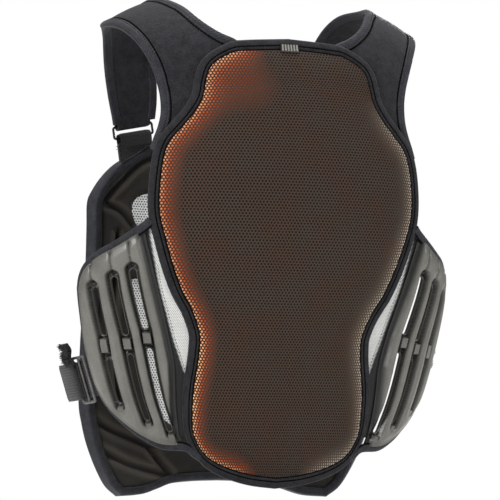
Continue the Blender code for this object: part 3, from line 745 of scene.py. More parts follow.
def make_plain(name, roughness, tones, patch, grain, depth=None, wear=None, **sockets):
    """A finish of one drifting tone with fine grain, handled or not."""
    made, tree, shader = new_finish(name, roughness, **sockets)
    place = body_place(tree)
    tint, speck = mottled(tree, place, *tones, patch, grain)
    surface(tree, shader, tint, speck if depth else None, depth or 0.0)
    if wear:
        worn(tree, shader, place, *wear)
    return made


def make_punched(name, roughness, dots, hole, tones, patch, grain, depth, dye=None, even=False,
                 **sockets):
    """A finish with staggered holes sunk in it, grained between them unless it is even. Dye
    darkens it where its shade value is high."""
    made, tree, shader = new_finish(name, roughness, **sockets)
    place = pattern_place(tree)
    holes = staggered_dots(tree, place, *dots)
    tint, speck = mottled(tree, place, *tones, patch, grain)
    tint = layered(tree, tint, (holes, hole))
    if dye:
        tint = layered(tree, tint, (value_at(tree, "shade"), dye))
    raised = node(tree, "ShaderNodeMath", {0: 1.0 if even else speck, 1: holes},
                  operation="SUBTRACT")
    surface(tree, shader, tint, raised.outputs[0], depth)
    return made


def make_binding():
    """Stretch polyester binding, folded over an edge: close ribs across the band."""
    made, tree, shader = new_finish("stretch_binding", 0.66, Sheen_Weight=0.12,
                                    Sheen_Roughness=0.45, Specular_IOR_Level=0.35)
    tint, speck = mottled(tree, body_place(tree), "#15161b", "#2e2f38", 0.009, 0.0020)
    rib = node(tree, "ShaderNodeTexWave",
               {"Vector": pattern_place(tree), "Scale": 175.0, "Distortion": 0.6},
               bands_direction="DIAGONAL")
    shade = layered(tree, (0.55, 0.55, 0.55, 1), (rib.outputs[1], (1, 1, 1, 1)))
    mix = node(tree, "ShaderNodeMix", {0: 0.5, 6: tint, 7: shade},
               data_type="RGBA", blend_type="MULTIPLY")
    both = node(tree, "ShaderNodeMath", {0: rib.outputs[1], 1: speck})
    surface(tree, shader, mix.outputs[2], both.outputs[0], 0.00022)
    return made


def make_cover():
    """Spacer mesh over an orange pad: brown-black knit with fine holes. The holes are painted
    near-black as shade, painted with the lit orange pad where the painted pad light value is high
    and painted pale backlight where the spark value is high; the ground is painted dark red where
    the lit pad shows through. Holes are drawn 3.6 mm apart, so that they show."""
    made, tree, shader = new_finish("spacer_mesh", 0.75, Specular_IOR_Level=0.2)
    place = pattern_place(tree)
    painted_pad_light = value_at(tree, "painted_pad_light")
    holes = staggered_dots(tree, place, (0.0036, 0.0058), 0.00108, 0.00030)
    uneven = node(tree, "ShaderNodeTexNoise", {"Vector": place, "Scale": 420.0, "Detail": 1.0})
    patches = node(tree, "ShaderNodeTexNoise", {"Vector": place, "Scale": 24.0, "Detail": 3.0})
    warm = node(tree, "ShaderNodeMapRange", {0: patches.outputs[0], 1: 0.42, 2: 0.68})
    # Ground: random warm patches, painted dark red where the lit pad shows through.
    lit = layered(tree, "#453930", (warm.outputs[0], "#49352a"), (painted_pad_light, "#421508"))
    first = node(tree, "ShaderNodeMapRange", {0: painted_pad_light, 1: 0.08, 2: 0.50})
    last = node(tree, "ShaderNodeMapRange", {0: painted_pad_light, 1: 0.45, 2: 0.95})
    # Holes: painted near-black as shade, painted orange where the pad is lit, painted pale at the
    # backlit rim.
    seen = layered(tree, "#070504", (first.outputs[0], "#c0592b"), (last.outputs[0], "#ffce98"),
                   (value_at(tree, "spark"), "#d8c9b4"))
    some = node(tree, "ShaderNodeMapRange", {0: uneven.outputs[0], 1: 0.3, 2: 0.62, 3: 0.85,
                                             4: 1.0})
    share = node(tree, "ShaderNodeMath", {0: holes, 1: some.outputs[0]}, operation="MULTIPLY")
    raised = node(tree, "ShaderNodeMath", {0: 1.0, 1: holes}, operation="SUBTRACT")
    surface(tree, shader, layered(tree, lit, (share.outputs[0], seen)), raised.outputs[0], 0.0004)
    return made


def make_wing_plastic():
    """Injection-moulded thermoplastic elastomer: satin grey, spark-eroded grain, with a painted
    highlight on the ridges and slot lips and painted shade down in the channels and on the rear
    flange."""
    made, tree, shader = new_finish("moulded_elastomer", 0.38, Specular_IOR_Level=0.5,
                                    Coat_Weight=0.08, Coat_Roughness=0.35)
    place = body_place(tree)
    # Dark tone for the painted shade, pale tone for the painted highlight.
    low, speck = mottled(tree, place, "#111110", "#1b1b1a", 0.02, 0.0012)
    high, _ = mottled(tree, place, "#62615c", "#74736d", 0.02, 0.0012)
    surface(tree, shader, layered(tree, low, (value_at(tree, "painted_light_and_shade"), high)), speck, 0.00018)
    worn(tree, shader, place, 60.0, 4.0, 0.3, 0.7, 0.30, 0.46)
    return made


def make_chest_foam():
    """Thermoformed EVA foam laminated with woven nylon: matt brown-black, fine plain weave, with
    painted shade in its pressed grooves and window rims and a painted highlight on the groove
    shoulders.
    """
    made, tree, shader = new_finish("laminated_eva_foam", 0.8, Sheen_Weight=0.15,
                                    Specular_IOR_Level=0.3)
    place = pattern_place(tree)
    tint, speck = mottled(tree, place, "#1b1815", "#2a2620", 0.02, 0.0014)
    # Painted shade: near-black in the pressed grooves; painted highlight on their shoulders.
    tint = layered(tree, "#080706", (value_at(tree, "painted_light_and_shade"), tint),
                   (value_at(tree, "painted_ridge_highlight"), "#453f37"))
    warp, weft = (node(tree, "ShaderNodeTexWave", {"Vector": place, "Scale": 200.0},
                       bands_direction=way).outputs[1] for way in "XY")
    weave = node(tree, "ShaderNodeMath", {0: warp, 1: weft}, operation="MAXIMUM")
    both = node(tree, "ShaderNodeMath", {0: weave.outputs[0], 1: speck})
    surface(tree, shader, tint, both.outputs[0], 0.00018)
    return made


def make_webbing():
    """Flat-woven polyester webbing: ribs across the strap and rows of warp along it."""
    made, tree, shader = new_finish("polyester_webbing", 0.62, Sheen_Weight=0.2,
                                    Specular_IOR_Level=0.4)
    place = pattern_place(tree)
    tint, speck = mottled(tree, place, "#1c191a", "#2f2b2d", 0.012, 0.0016)
    rib = node(tree, "ShaderNodeTexWave", {"Vector": place, "Scale": 150.0, "Distortion": 0.4},
               bands_direction="Y")
    warp = node(tree, "ShaderNodeTexWave", {"Vector": place, "Scale": 110.0})
    rows = node(tree, "ShaderNodeMath", {0: rib.outputs[1], 1: warp.outputs[1]},
                operation="MULTIPLY")
    both = node(tree, "ShaderNodeMath", {0: rows.outputs[0], 1: speck})
    surface(tree, shader, layered(tree, "#121011", (rows.outputs[0], tint)), both.outputs[0],
            0.00035)
    return made


def make_label():
    """Damask-woven label: black ground with plain woven bars and no lettering."""
    made, tree, shader = new_finish("woven_label", 0.6, Sheen_Weight=0.2)
    place = pattern_place(tree)
    height = node(tree, "ShaderNodeSeparateXYZ", {0: place}).outputs[1]
    bar = node(tree, "ShaderNodeMath", {0: height, 1: -0.0620}, operation="GREATER_THAN")
    wave = node(tree, "ShaderNodeTexWave", {"Vector": place, "Scale": 95.0})
    blocks = node(tree, "ShaderNodeMath", {0: wave.outputs[1], 1: 0.42}, operation="GREATER_THAN")
    shown = node(tree, "ShaderNodeMath", {0: bar.outputs[0], 1: blocks.outputs[0]},
                 operation="MULTIPLY")
    under = node(tree, "ShaderNodeMath", {0: height, 1: -0.0639}, operation="LESS_THAN")
    tint = layered(tree, "#1a1817", (shown.outputs[0], "#8d8882"), (under.outputs[0], "#6b3d14"))
    grain = node(tree, "ShaderNodeTexNoise", {"Vector": place, "Scale": 1200.0})
    surface(tree, shader, tint, grain.outputs[0], 0.0002)
    return made


FINISH = {
    # Neoprene faced with a fine nylon knit: matt blue-black, soft sheen, faint knit grain.
    "neoprene": make_plain("knit_faced_neoprene", 0.78, ("#0c0c0f", "#25252b"), 0.009, 0.0021,
                           0.0006, Sheen_Weight=0.10, Sheen_Roughness=0.5,
                           Specular_IOR_Level=0.32),
    "binding": make_binding(),
    "cover": make_cover(),
    # Moulded orange impact foam: satin skin with a staggered field of vent dimples.
    "pad": make_punched("moulded_impact_foam", 0.55, ((0.012, 0.0207), 0.0030, 0.0008), "#5c1d08",
                        ("#b9420f", "#cf5618"), 0.03, 0.002, 0.0012, even=True,
                        Subsurface_Weight=0.05),
    # Open sports mesh against the wearer: black knit with round holes over black foam.
    "liner": make_punched("liner_mesh", 0.8, ((0.0040, 0.0056), 0.0011, 0.0003), "#060607",
                          ("#1c1c1f", "#2a2a2f"), 0.04, 0.0012, 0.0004, Sheen_Weight=0.2),
    # White warp-knit mesh: pale yarn with small staggered eyelets, dyed dark at its flange.
    "white_mesh": make_punched("warp_knit_mesh", 0.75, ((0.0021, 0.0030), 0.00048, 0.0002),
                               "#8f8f8e", ("#e6e6e4", "#fbfbf9"), 0.02, 0.001, 0.0003,
                               dye="#151518", Sheen_Weight=0.15),
    "wing": make_wing_plastic(),
    "foam": make_chest_foam(),
    # Injection-moulded polypropylene: glossy white with faint handling scuffs.
    "shell": make_plain("moulded_polypropylene", 0.3, ("#e4e4e1", "#f3f3f1"), 0.05, 0.002,
                        0.00006, wear=(90.0, 6.0, 0.35, 0.7, 0.24, 0.42), Subsurface_Weight=0.8,
                        Subsurface_Scale=0.012, Subsurface_Radius=(1, 1, 1)),
    # Moulded acetal buckle plastic: dense satin, lightly scratched.
    "ring": make_plain("black_acetal", 0.34, ("#0e0e0f", "#1a1a1c"), 0.01, 0.0008, 0.00008,
                       wear=(300.0, 5.0, 0.35, 0.65, 0.26, 0.48), Specular_IOR_Level=0.5),
    "slide": make_plain("grey_acetal", 0.40, ("#4a4947", "#6a6967"), 0.01, 0.0008, 0.00008,
                        wear=(300.0, 5.0, 0.35, 0.65, 0.32, 0.54), Specular_IOR_Level=0.5),
    "webbing": make_webbing(),
    # Bonded nylon sewing thread and hook tape: slightly shiny.
    "dark_thread": make_plain("dark_bonded_thread", 0.45, ("#0c0c0e", "#17171a"), 0.004, 0.0006,
                              0.0001, Sheen_Weight=0.1),
    "hook": make_plain("hook_tape_nylon", 0.45, ("#0d0c0c", "#2a2727"), 0.004, 0.0006, 0.0001,
                       Sheen_Weight=0.1),
    "label": make_label(),
    # Painted shade: matt black strips laid along seams as painted seam shadow, and the painted dark
    # inside of a punched vent.
    "shadow": make_plain("matt_black_cord", 0.95, ("#060606", "#121112"), 0.01, 0.001,
                         Specular_IOR_Level=0.05),
}


# ---------------------------------------------------------------- geometry node trees

def new_tree(name, inputs):
    """A geometry node tree with named inputs, its input sockets and its output node."""
    tree = bpy.data.node_groups.new(name, "GeometryNodeTree")
    for label, kind in {"Geometry": "Geometry", **inputs}.items():
        tree.interface.new_socket(label, in_out="INPUT", socket_type="NodeSocket" + kind)
    tree.interface.new_socket("Geometry", in_out="OUTPUT", socket_type="NodeSocketGeometry")
    return tree, node(tree, "NodeGroupInput").outputs, node(tree, "NodeGroupOutput")


def carried(tree, name):
    """A direction that the points carry."""
    return node(tree, "GeometryNodeInputNamedAttribute", {"Name": name},
                data_type="FLOAT_VECTOR").outputs[0]


def repeated(tree, points, item, rotation):
    return node(tree, "GeometryNodeInstanceOnPoints",
                {"Points": points, "Instance": item, "Rotation": rotation}).outputs[0]


def close_tree(tree, geometry, finish, output):
    """Ends a tree in real geometry with its material."""
    real = node(tree, "GeometryNodeRealizeInstances", {0: geometry})
    smooth_faces = node(tree, "GeometryNodeSetShadeSmooth", {0: real.outputs[0]})
    painted = node(tree, "GeometryNodeSetMaterial", {0: smooth_faces.outputs[0],
                                                     "Material": finish})
    tree.links.new(painted.outputs[0], output.inputs[0])
    return tree


def seam_tree():
    """Thread stitches: a stretched bead at each point, along its heading and facing outward."""
    tree, given, output = new_tree("seam_stitches", {
        "Stitch Length": "Float", "Thread Width": "Float", "Thread": "Material"})
    bead = node(tree, "GeometryNodeMeshUVSphere", {"Segments": 6, "Rings": 4, "Radius": 0.5})
    size = node(tree, "ShaderNodeCombineXYZ", {0: given[1], 1: given[2], 2: given[2]})
    stretched = node(tree, "GeometryNodeTransform", {0: bead.outputs[0],
                                                     "Scale": size.outputs[0]})
    turn = node(tree, "FunctionNodeAxesToRotation",
                {0: carried(tree, "heading"), 1: carried(tree, "outward")}, primary_axis="X",
                secondary_axis="Z")
    beads = repeated(tree, given[0], stretched.outputs[0], turn.outputs[0])
    return close_tree(tree, beads, given[3], output)


def vent_tree():
    """Painted shade of punched vent holes: a shallow dark dish at each point, facing outward, for
    the hole's shaded inside.
    """
    tree, given, output = new_tree("painted_vent_shade", {
        "Hole Radius": "Float", "Dish Depth": "Float", "Shadow": "Material"})
    dish = node(tree, "GeometryNodeMeshCylinder", {"Vertices": 10, "Radius": given[1],
                                                   "Depth": given[2]})
    turn = node(tree, "FunctionNodeAlignRotationToVector", {"Vector": carried(tree, "outward")},
                axis="Z")
    dishes = repeated(tree, given[0], dish.outputs[0], turn.outputs[0])
    return close_tree(tree, dishes, given[3], output)


def frame_tree():
    """Flat buckle frame in the XY plane: a round bar swept round a filleted rectangle, with an
    optional middle bar along X."""
    tree, given, output = new_tree("buckle_frame", {
        "Length": "Float", "Width": "Float", "Bar": "Float", "Corner": "Float",
        "Middle Bar": "Float", "Plastic": "Material"})
    loop = node(tree, "GeometryNodeCurvePrimitiveQuadrilateral",
                {"Width": given[1], "Height": given[2]})
    filleted = node(tree, "GeometryNodeFilletCurve",
                    {0: loop.outputs[0], "Radius": given[4], "Count": 6}, mode="POLY")
    half_bar = node(tree, "ShaderNodeMath", {0: given[3], 1: 0.5}, operation="MULTIPLY")
    ends = []
    for share in (-0.49, 0.49):
        reach = node(tree, "ShaderNodeMath", {0: given[1], 1: share}, operation="MULTIPLY")
        ends.append(node(tree, "ShaderNodeCombineXYZ", {0: reach.outputs[0]}).outputs[0])
    line = node(tree, "GeometryNodeCurvePrimitiveLine", {"Start": ends[0], "End": ends[1]})
    bars = []
    for path, radius in ((filleted, half_bar.outputs[0]), (line, given[5])):
        section = node(tree, "GeometryNodeCurvePrimitiveCircle",
                       {"Resolution": 12, "Radius": radius})
        bars.append(node(tree, "GeometryNodeCurveToMesh",
                         {0: path.outputs[0], "Profile Curve": section.outputs[0],
                          "Fill Caps": True}).outputs[0])
    wanted = node(tree, "FunctionNodeCompare", {0: given[5], 1: 0.0001},
                  operation="GREATER_THAN")
    chosen = node(tree, "GeometryNodeSwitch", {0: wanted.outputs[0], 2: bars[1]},
                  input_type="GEOMETRY")
    joint = node(tree, "GeometryNodeJoinGeometry", {0: bars[0]})
    tree.links.new(chosen.outputs[0], joint.inputs[0])
    return close_tree(tree, joint.outputs[0], given[6], output)


def tuft_tree():
    """Hook tape nap: fine bent bristles scattered over a patch with a fixed seed."""
    tree, given, output = new_tree("hook_nap", {
        "Density": "Float", "Height": "Float", "Thickness": "Float", "Seed": "Int",
        "Nylon": "Material"})
    spots = node(tree, "GeometryNodeDistributePointsOnFaces",
                 {"Mesh": given[0], "Density": given[1], "Seed": given[4]})
    bristle = node(tree, "GeometryNodeMeshCone",
                   {"Vertices": 5, "Side Segments": 1, "Fill Segments": 1,
                    "Radius Top": 0.0001, "Radius Bottom": given[3], "Depth": given[2]})
    lean = node(tree, "FunctionNodeRandomValue",
                {0: (-0.9, -0.9, 0.0), 1: (0.9, 0.9, 6.2), "Seed": given[4]},
                data_type="FLOAT_VECTOR")
    leaned = node(tree, "FunctionNodeEulerToRotation", {0: lean.outputs[0]})
    turned = node(tree, "FunctionNodeRotateRotation",
                  {0: spots.outputs["Rotation"], 1: leaned.outputs[0]}, rotation_space="LOCAL")
    bristles = repeated(tree, spots.outputs[0], bristle.outputs[0], turned.outputs[0])
    return close_tree(tree, bristles, given[5], output)


TREES = {"seam": seam_tree(), "vent": vent_tree(), "frame": frame_tree(), "tuft": tuft_tree()}


def grown(name, tree, values, source):
    """The tree's result on a source mesh, as one plain mesh at the origin."""
    carrier = in_scene(name + "_source", source)
    modifier = carrier.modifiers.new("grow", "NODES")
    modifier.node_group = tree
    sockets = {item.name: item.identifier for item in tree.interface.items_tree
               if item.item_type == "SOCKET" and item.in_out == "INPUT"}
    for label, value in values.items():
        modifier[sockets[label]] = value
    evaluated = carrier.evaluated_get(bpy.context.evaluated_depsgraph_get())
    mesh = bpy.data.meshes.new_from_object(evaluated)
    mesh.name = name
    bpy.data.objects.remove(carrier)
    return in_scene(name, mesh)


def point_mesh(places, **directions):
    """A mesh of bare points that carry direction attributes."""
    mesh = bpy.data.meshes.new("points")
    mesh.from_pydata([tuple(p) for p in places], [], [])
    for label, vectors in directions.items():
        attribute = mesh.attributes.new(label, "FLOAT_VECTOR", "POINT")
        attribute.data.foreach_set("vector", np.asarray(vectors, np.float32).ravel())
    return mesh


SEAMS = {}


def stitch(group, chart, path, lift, pitch=STITCH_PITCH):
    """Adds a line of stitches along a flat path to a group that is sewn later."""
    line = evenly(path, pitch)
    middles = (line[1:] + line[:-1]) / 2
    places = layer(chart, middles[:, 0], middles[:, 1], lift)
    headings = (layer(chart, line[1:, 0], line[1:, 1], lift)
                - layer(chart, line[:-1, 0], line[:-1, 1], lift))
    outwards = outward_of(chart, middles[:, 0], middles[:, 1])
    SEAMS.setdefault(group, []).append((places, headings, outwards))


def sew(group):
    """All stitches of a group as one piece of dark thread."""
    places, headings, outwards = (np.vstack(part) for part in zip(*SEAMS[group]))
    return grown(group, TREES["seam"],
                 {"Stitch Length": STITCH_LENGTH, "Thread Width": THREAD_WIDTH,
                  "Thread": FINISH["dark_thread"]},
                 point_mesh(places, heading=headings, outward=outwards))


def seam_shadow_strip(name, chart, path, lift, ride, closed=False):
    """Thin black strip laid along a seam as painted seam shadow, which rides as its function says.
    """
    section = rounded_section(-0.0009, 0.0009, lift - 0.0010, lift + 0.0002, 0.0005, steps=2)
    ride(band(name, chart, path, section, FINISH["shadow"], closed))


# ---------------------------------------------------------------- back plate

def crowned_lift(points, edge):
    """Lift of the cover: a steep roll at its sewn edge, then a soft crown."""
    inward = np.clip(line_distance(points, edge, closed=True) / CROWN_REACH, 0, 1)
    return COVER_EDGE + COVER_CROWN * np.sin(inward * math.pi / 2) ** 0.62


def plump(sheet, sewn, cap):
    """Cloth simulation: air pressure swells a sheet held at its sewn edge, by at most the cap."""
    rest = coordinates(sheet)
    held = sheet.vertex_groups.new(name="sewn_edge")
    held.add([int(i) for i in sewn], 1.0, "REPLACE")
    cloth = sheet.modifiers.new("Cloth", "CLOTH")
    settings = cloth.settings
    settings.quality = 6
    settings.mass = 0.25
    settings.tension_stiffness = 18
    settings.compression_stiffness = 12
    settings.bending_stiffness = 0.6
    settings.use_pressure = True
    settings.uniform_pressure_force = 4.0
    settings.effector_weights.gravity = 0
    settings.vertex_group_mass = "sewn_edge"
    scene = bpy.context.scene
    for number in range(1, 21):
        scene.frame_set(number)
    solved = sheet.evaluated_get(bpy.context.evaluated_depsgraph_get()).to_mesh()
    co = np.zeros(len(rest) * 3, np.float32)
    solved.vertices.foreach_get("co", co)
    moved = co.reshape(-1, 3) - rest
    length = np.linalg.norm(moved, axis=1, keepdims=True)
    rest += moved * np.minimum(1, cap / np.maximum(length, 1e-9))
    sheet.modifiers.remove(cloth)
    sheet.data.vertices.foreach_set("co", rest.astype(np.float32).ravel())
    sheet.data.update()
    scene.frame_set(1)


def paint_pad_light(points, edge):
    """Painted light: how strongly the lit orange pad is painted into the cover at each flat point,
    strongest along the left rim and at the upper left, where the light falls on the pad.
    """
    near = line_distance(points, edge, closed=True)
    u, z = points.T
    left = step_up(-u, 0.020, 0.070)
    upper = step_up(z, -0.30, -0.16)
    rim = np.exp(-(near / (0.0085 + 0.003 * upper)) ** 1.3)
    rim *= 0.62 + 0.38 * np.exp(-((z + 0.405) / 0.075) ** 2)
    wash = 0.13 * np.exp(-(near / 0.024) ** 2)
    top = 0.20 * np.exp(-((u + 0.052) / 0.042) ** 2 - ((z + 0.100) / 0.034) ** 2)
    return np.clip(left * (rim + wash) + top, 0, 1)


def rim_spark(points, edge):
    """Pale light through the mesh along the wearer's right rim."""
    near = line_distance(points, edge, closed=True)
    u, z = points.T
    return 0.95 * step_up(u, 0.03, 0.09) * np.exp(-(near / 0.010) ** 1.5) * step_up(-z, 0.10, 0.17)


def make_back():
    border = full_border(FINE)
    cover_edge = inset(border, BORDER_WIDTH - 0.0010)
    flat = flat_mesh(cover_edge, grid=COVER_GRID, rims=(0.0012, 0.0028))
    cover = sheet_on("mesh_cover", wrap_point, flat, crowned_lift(flat[0], cover_edge),
                     FINISH["cover"])
    # Painted light on the cover: the lit pad in its holes and pale backlight along its right rim.
    point_value(cover, "painted_pad_light", paint_pad_light(flat[0], cover_edge))
    point_value(cover, "spark", rim_spark(flat[0], cover_edge))
    sewn = np.flatnonzero(line_distance(flat[0], cover_edge, closed=True) < 0.0010)
    plump(cover, sewn, 0.0035)
    wall = cover.modifiers.new("wall", "SOLIDIFY")
    wall.thickness = COVER_WALL
    wall.offset = -1
    even = cover.modifiers.new("even", "SUBSURF")
    even.levels = even.render_levels = 1
    placed(cover, on("back"), ["back_mesh_cover"])

    pad_edge = inset(border, BORDER_WIDTH + 0.004)
    flat = flat_mesh(pad_edge, grid=COARSE, rims=(0.003,))
    top = crowned_lift(flat[0], cover_edge) - COVER_WALL - 0.0018
    pad = draped("impact_pad", wrap_point, flat, PAD_FLOOR, top, FINISH["pad"])
    placed(pad, on("back"), ["back_impact_pad"])

    liner_edge = inset(border, BORDER_WIDTH / 2 + 0.0014)
    flat = flat_mesh(liner_edge, grid=LINER_GRID, rims=(0.001,))
    channel = np.abs(((flat[0][:, 1] + 0.02 * np.abs(flat[0][:, 0]) * 25) / 0.055) % 1 - 0.5)
    puff = 0.0012 * np.clip(channel * 12, 0, 1) * step_up(
        line_distance(flat[0], liner_edge, closed=True), 0.004, 0.014)
    liner = draped("back_lining", wrap_point, flat, LINER[0] + 0.0012 - puff, LINER[1],
                   FINISH["liner"])
    placed(liner, on("back"), ["back_liner"])

    section = rounded_section(0, BORDER_WIDTH, BINDING[0], BINDING[1] - 0.0008, 0.0026, 0.0008)
    section = grooved(section, BORDER_SEAM, 0.0011)
    binding = band("border_binding", wrap_point, border, section, FINISH["neoprene"], closed=True)
    placed(binding, on("back"), ["back_binding"])
    for distance, lift in ((BORDER_SEAM, 0.0073), (BORDER_SEAM + 0.0010, 0.0078)):
        stitch("border_seam", wrap_point, looped(inset(border, distance)), lift)
    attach(sew("border_seam"), "back")
    # Painted seam shadow: black strips along the border's seam and its inner edge.
    seam_shadow_strip("border_outer_cord", wrap_point, inset(border, BORDER_SEAM), 0.0080, on("back"),
           True)
    seam_shadow_strip("border_inner_cord", wrap_point, inset(border, BORDER_WIDTH + 0.0004), 0.0072,
           on("back"), True)

    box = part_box("label_tab")
    low, high = box[0].z - LABEL_DROP, box[1].z - LABEL_DROP
    outline = evenly([(-0.010, low), (0.010, low), (0.010, high), (-0.010, high)], 0.0012,
                     closed=True)
    flat = flat_mesh(outline, grid=LABEL_GRID)
    under = np.maximum(0.0082, crowned_lift(flat[0], cover_edge) + 0.0002)
    label = draped("woven_tag", wrap_point, flat, under, under + 0.0013, FINISH["label"])
    placed(label, on("back"), ["label_tab"])


# ---------------------------------------------------------------- shoulders

def border_middle(first, last, side, step):
    """Part of the line along the middle of the border, on the shoulder chart."""
    line = inset(full_border(FINE), BORDER_WIDTH / 2 - SEAM_GAP)
    line = line[(line[:, 1] < first) & (line[:, 1] > last) & (line[:, 0] > 0.045)]
    line = line[np.argsort(-line[:, 1])]
    places = wrap_point(line[:, 0], line[:, 1])
    return sided(smooth([(x, drape_length(x, z)) for x, _, z in places], step), side)


def make_harness(side):
    """Neoprene shoulder strap in one piece from the back's border to the ring."""
    neck = sided(smooth(metres(NECK_EDGE), FINE), side)
    arm = sided(smooth(metres(ARMHOLE_EDGE), FINE), side)
    seam = border_middle(-0.060, -0.160, side, 0.006)
    outline = joined(beside(neck, -0.0008 * side)[::-1], seam, beside(arm, 0.0008 * side))
    flat = flat_mesh(outline, grid=FINE, rims=(0.0012,))
    strap = draped(named("harness", side), drape_point, flat, *HARNESS, FINISH["neoprene"])
    placed(strap, cross_shoulder,
           [named("shoulder_yoke", side), named("shoulder_strap", side)])
    group = named("harness_seam", side)
    neck_line = sided(smooth(metres(NECK_LEAD + NECK_EDGE), FINE), side)
    for stem, line, turn in (("neck_tape", neck_line, -side), ("armhole_tape", arm, side)):
        section = rounded_section(-0.0006, EDGE_BINDING, -0.0008, 0.0046, 0.0022, 0.0007)
        section = grooved(section, EDGE_BINDING - 0.0026, 0.0007)
        edge = band(named(stem.replace("tape", "binding"), side), drape_point, line, section,
                    FINISH["binding"], turn=turn)
        placed(edge, cross_shoulder, [named(stem, side)])
        for distance, lift in ((EDGE_BINDING - 0.0026, 0.0046), (EDGE_BINDING + 0.0016, 0.0037)):
            stitch(group, drape_point, beside(line, distance * turn), lift)
        # Painted seam shadow: a black strip beside the binding.
        seam_shadow_strip(named(stem.replace("tape", "cord"), side), drape_point,
               beside(line, (EDGE_BINDING + SHADOW_STRIP_GAP) * turn), 0.0040, cross_shoulder)
    for q in (0.2905, 0.2870):
        across = np.linspace(0.092, 0.131, 20)
        rise = (across - 0.092) / 0.039 * 0.0095
        stitch(group, drape_point, np.stack([across * side, q + rise], -1), 0.0040)
    cross_shoulder(sew(group))


def ring_axes(side):
    """Centre, long axis, downward axis and outward normal of a shoulder ring."""
    ends = layer(drape_point, np.array([0.086, 0.134]) * side, np.array([0.3060, 0.3160]), 0.0025)
    inner_end, outer_end = Vector(ends[0]), Vector(ends[1])
    across = (outer_end - inner_end).normalized() * side
    down = Vector((0, 1, 0.10)).cross(across).normalized()
    down *= -1 if down.z > 0 else 1
    normal = down.cross(across).normalized()
    normal *= -1 if normal.y < 0 else 1
    return (inner_end + outer_end) / 2, across, down, normal


def buckle(name, centre, long_axis, short_axis, size, bar, corner, middle, finish):
    """A buckle frame grown in its own plane and placed by its axes."""
    piece = grown(name, TREES["frame"],
                  {"Length": size[0] - bar, "Width": size[1] - bar, "Bar": bar,
                   "Corner": corner, "Middle Bar": middle, "Plastic": finish},
                  bpy.data.meshes.new("empty"))
    normal = long_axis.cross(short_axis)
    place = Matrix((long_axis, short_axis, normal)).transposed().to_4x4()
    place.translation = centre
    piece.data.transform(place)
    if place.determinant() < 0:
        piece.data.flip_normals()
    return piece


def make_ring(side):
    centre, across, down, normal = ring_axes(side)
    ring = buckle(named("strap_ring", side), centre, across, down, RING_SIZE, RING_BAR, 0.0022,
                  0.0, FINISH["ring"])
    placed(ring, on("straps"), [named("shoulder_ring", side)])

    upper = -RING_SIZE[1] / 2 + RING_BAR / 2
    path = [(upper - 0.0125, 0.0036), (upper - 0.006, 0.0035)] + arc((upper, 0), 0.0032, 80, -80, 6)
    path += [(upper - 0.006, -0.0030), (upper - 0.0125, -0.0028)]
    loop = ribbon(named("ring_loop", side), in_plane(centre, down, normal, path, LOOP_STEP),
                  across, 0.0435, 0.0022, FINISH["neoprene"])
    placed(loop, on("straps"), [named("strap_loop", side)])

    lower = RING_SIZE[1] / 2 - RING_BAR / 2
    path = [(lower + 0.010, 0.0040), (lower + 0.005, SWING_LOOP_RADIUS - 0.0002)]
    path += arc((lower, 0), SWING_LOOP_RADIUS, 95, 265, 8)
    path += [(lower + 0.005, 0.0002 - SWING_LOOP_RADIUS), (lower + 0.010, -0.0030)]
    turn = ribbon(named("webbing_turn", side), in_plane(centre, down, normal, path, LOOP_STEP),
                  across, WEBBING_WIDTH, 0.0015, FINISH["webbing"])
    placed(turn, on("chest"), [named("webbing_loop", side)])

    outline = evenly(sided(metres(CHEST_WEBBING), side), 0.0025, closed=True)
    strap = draped(named("hanging_webbing", side), drape_point,
                   flat_mesh(outline, grid=0.003, rims=(0.0006,)), 0.0008, 0.0036,
                   FINISH["webbing"])
    placed(strap, on("chest"), [named("chest_webbing", side)])


# ---------------------------------------------------------------- chest

def chest_outline():
    return whole(joined(smooth(metres(CHEST_TOP), FINE), smooth(metres(CHEST_LOW), FINE)))


def window_loops():
    loops = []
    for window in CHEST_WINDOWS:
        loop = smooth(metres(window), OUTLINE_STEP, closed=True)
        loops += [loop, np.array(mirrored(loop))]
    return loops


def foam_relief(points, edge, windows):
    """Inner face of the foam: pads that swell between pressed grooves and rolled window rims."""
    groove = np.full(len(points), 1.0)
    for line in FOAM_GROOVES:
        for side in (-1, 1):
            groove = np.minimum(groove, line_distance(
                points, sided(smooth(metres(line), FINE), side)))
    rim = np.min([line_distance(points, loop, closed=True) for loop in windows], axis=0)
    border = line_distance(points, edge, closed=True)
    dip = np.minimum(step_up(groove, 0.0008, 0.0046), step_up(rim, 0.0, 0.0050))
    shoulder = np.exp(-((groove - 0.0066) / 0.0026) ** 2)
    return dip * step_up(border, -0.003, 0.006), shoulder


def vent_field(loop, pitch, margin):
    """Staggered points inside a closed outline, clear of its edge."""
    low, high = loop.min(0), loop.max(0)
    rows = np.arange(low[1], high[1], pitch * 0.866)
    spots = np.array([(x + (k % 2) * pitch / 2, y) for k, y in enumerate(rows)
                      for x in np.arange(low[0], high[0], pitch)])
    spots = spots[inside(spots, loop)]
    return spots[line_distance(spots, loop, closed=True) > margin]


def nearest_value(points, values, wanted):
    """Value at the nearest flat point of each wanted place."""
    found = []
    for chunk in np.array_split(np.array(wanted), max(1, len(wanted) // 400)):
        gap = np.sum((chunk[:, None] - points[None]) ** 2, -1)
        found.append(values[np.argmin(gap, axis=1)])
    return np.concatenate(found)


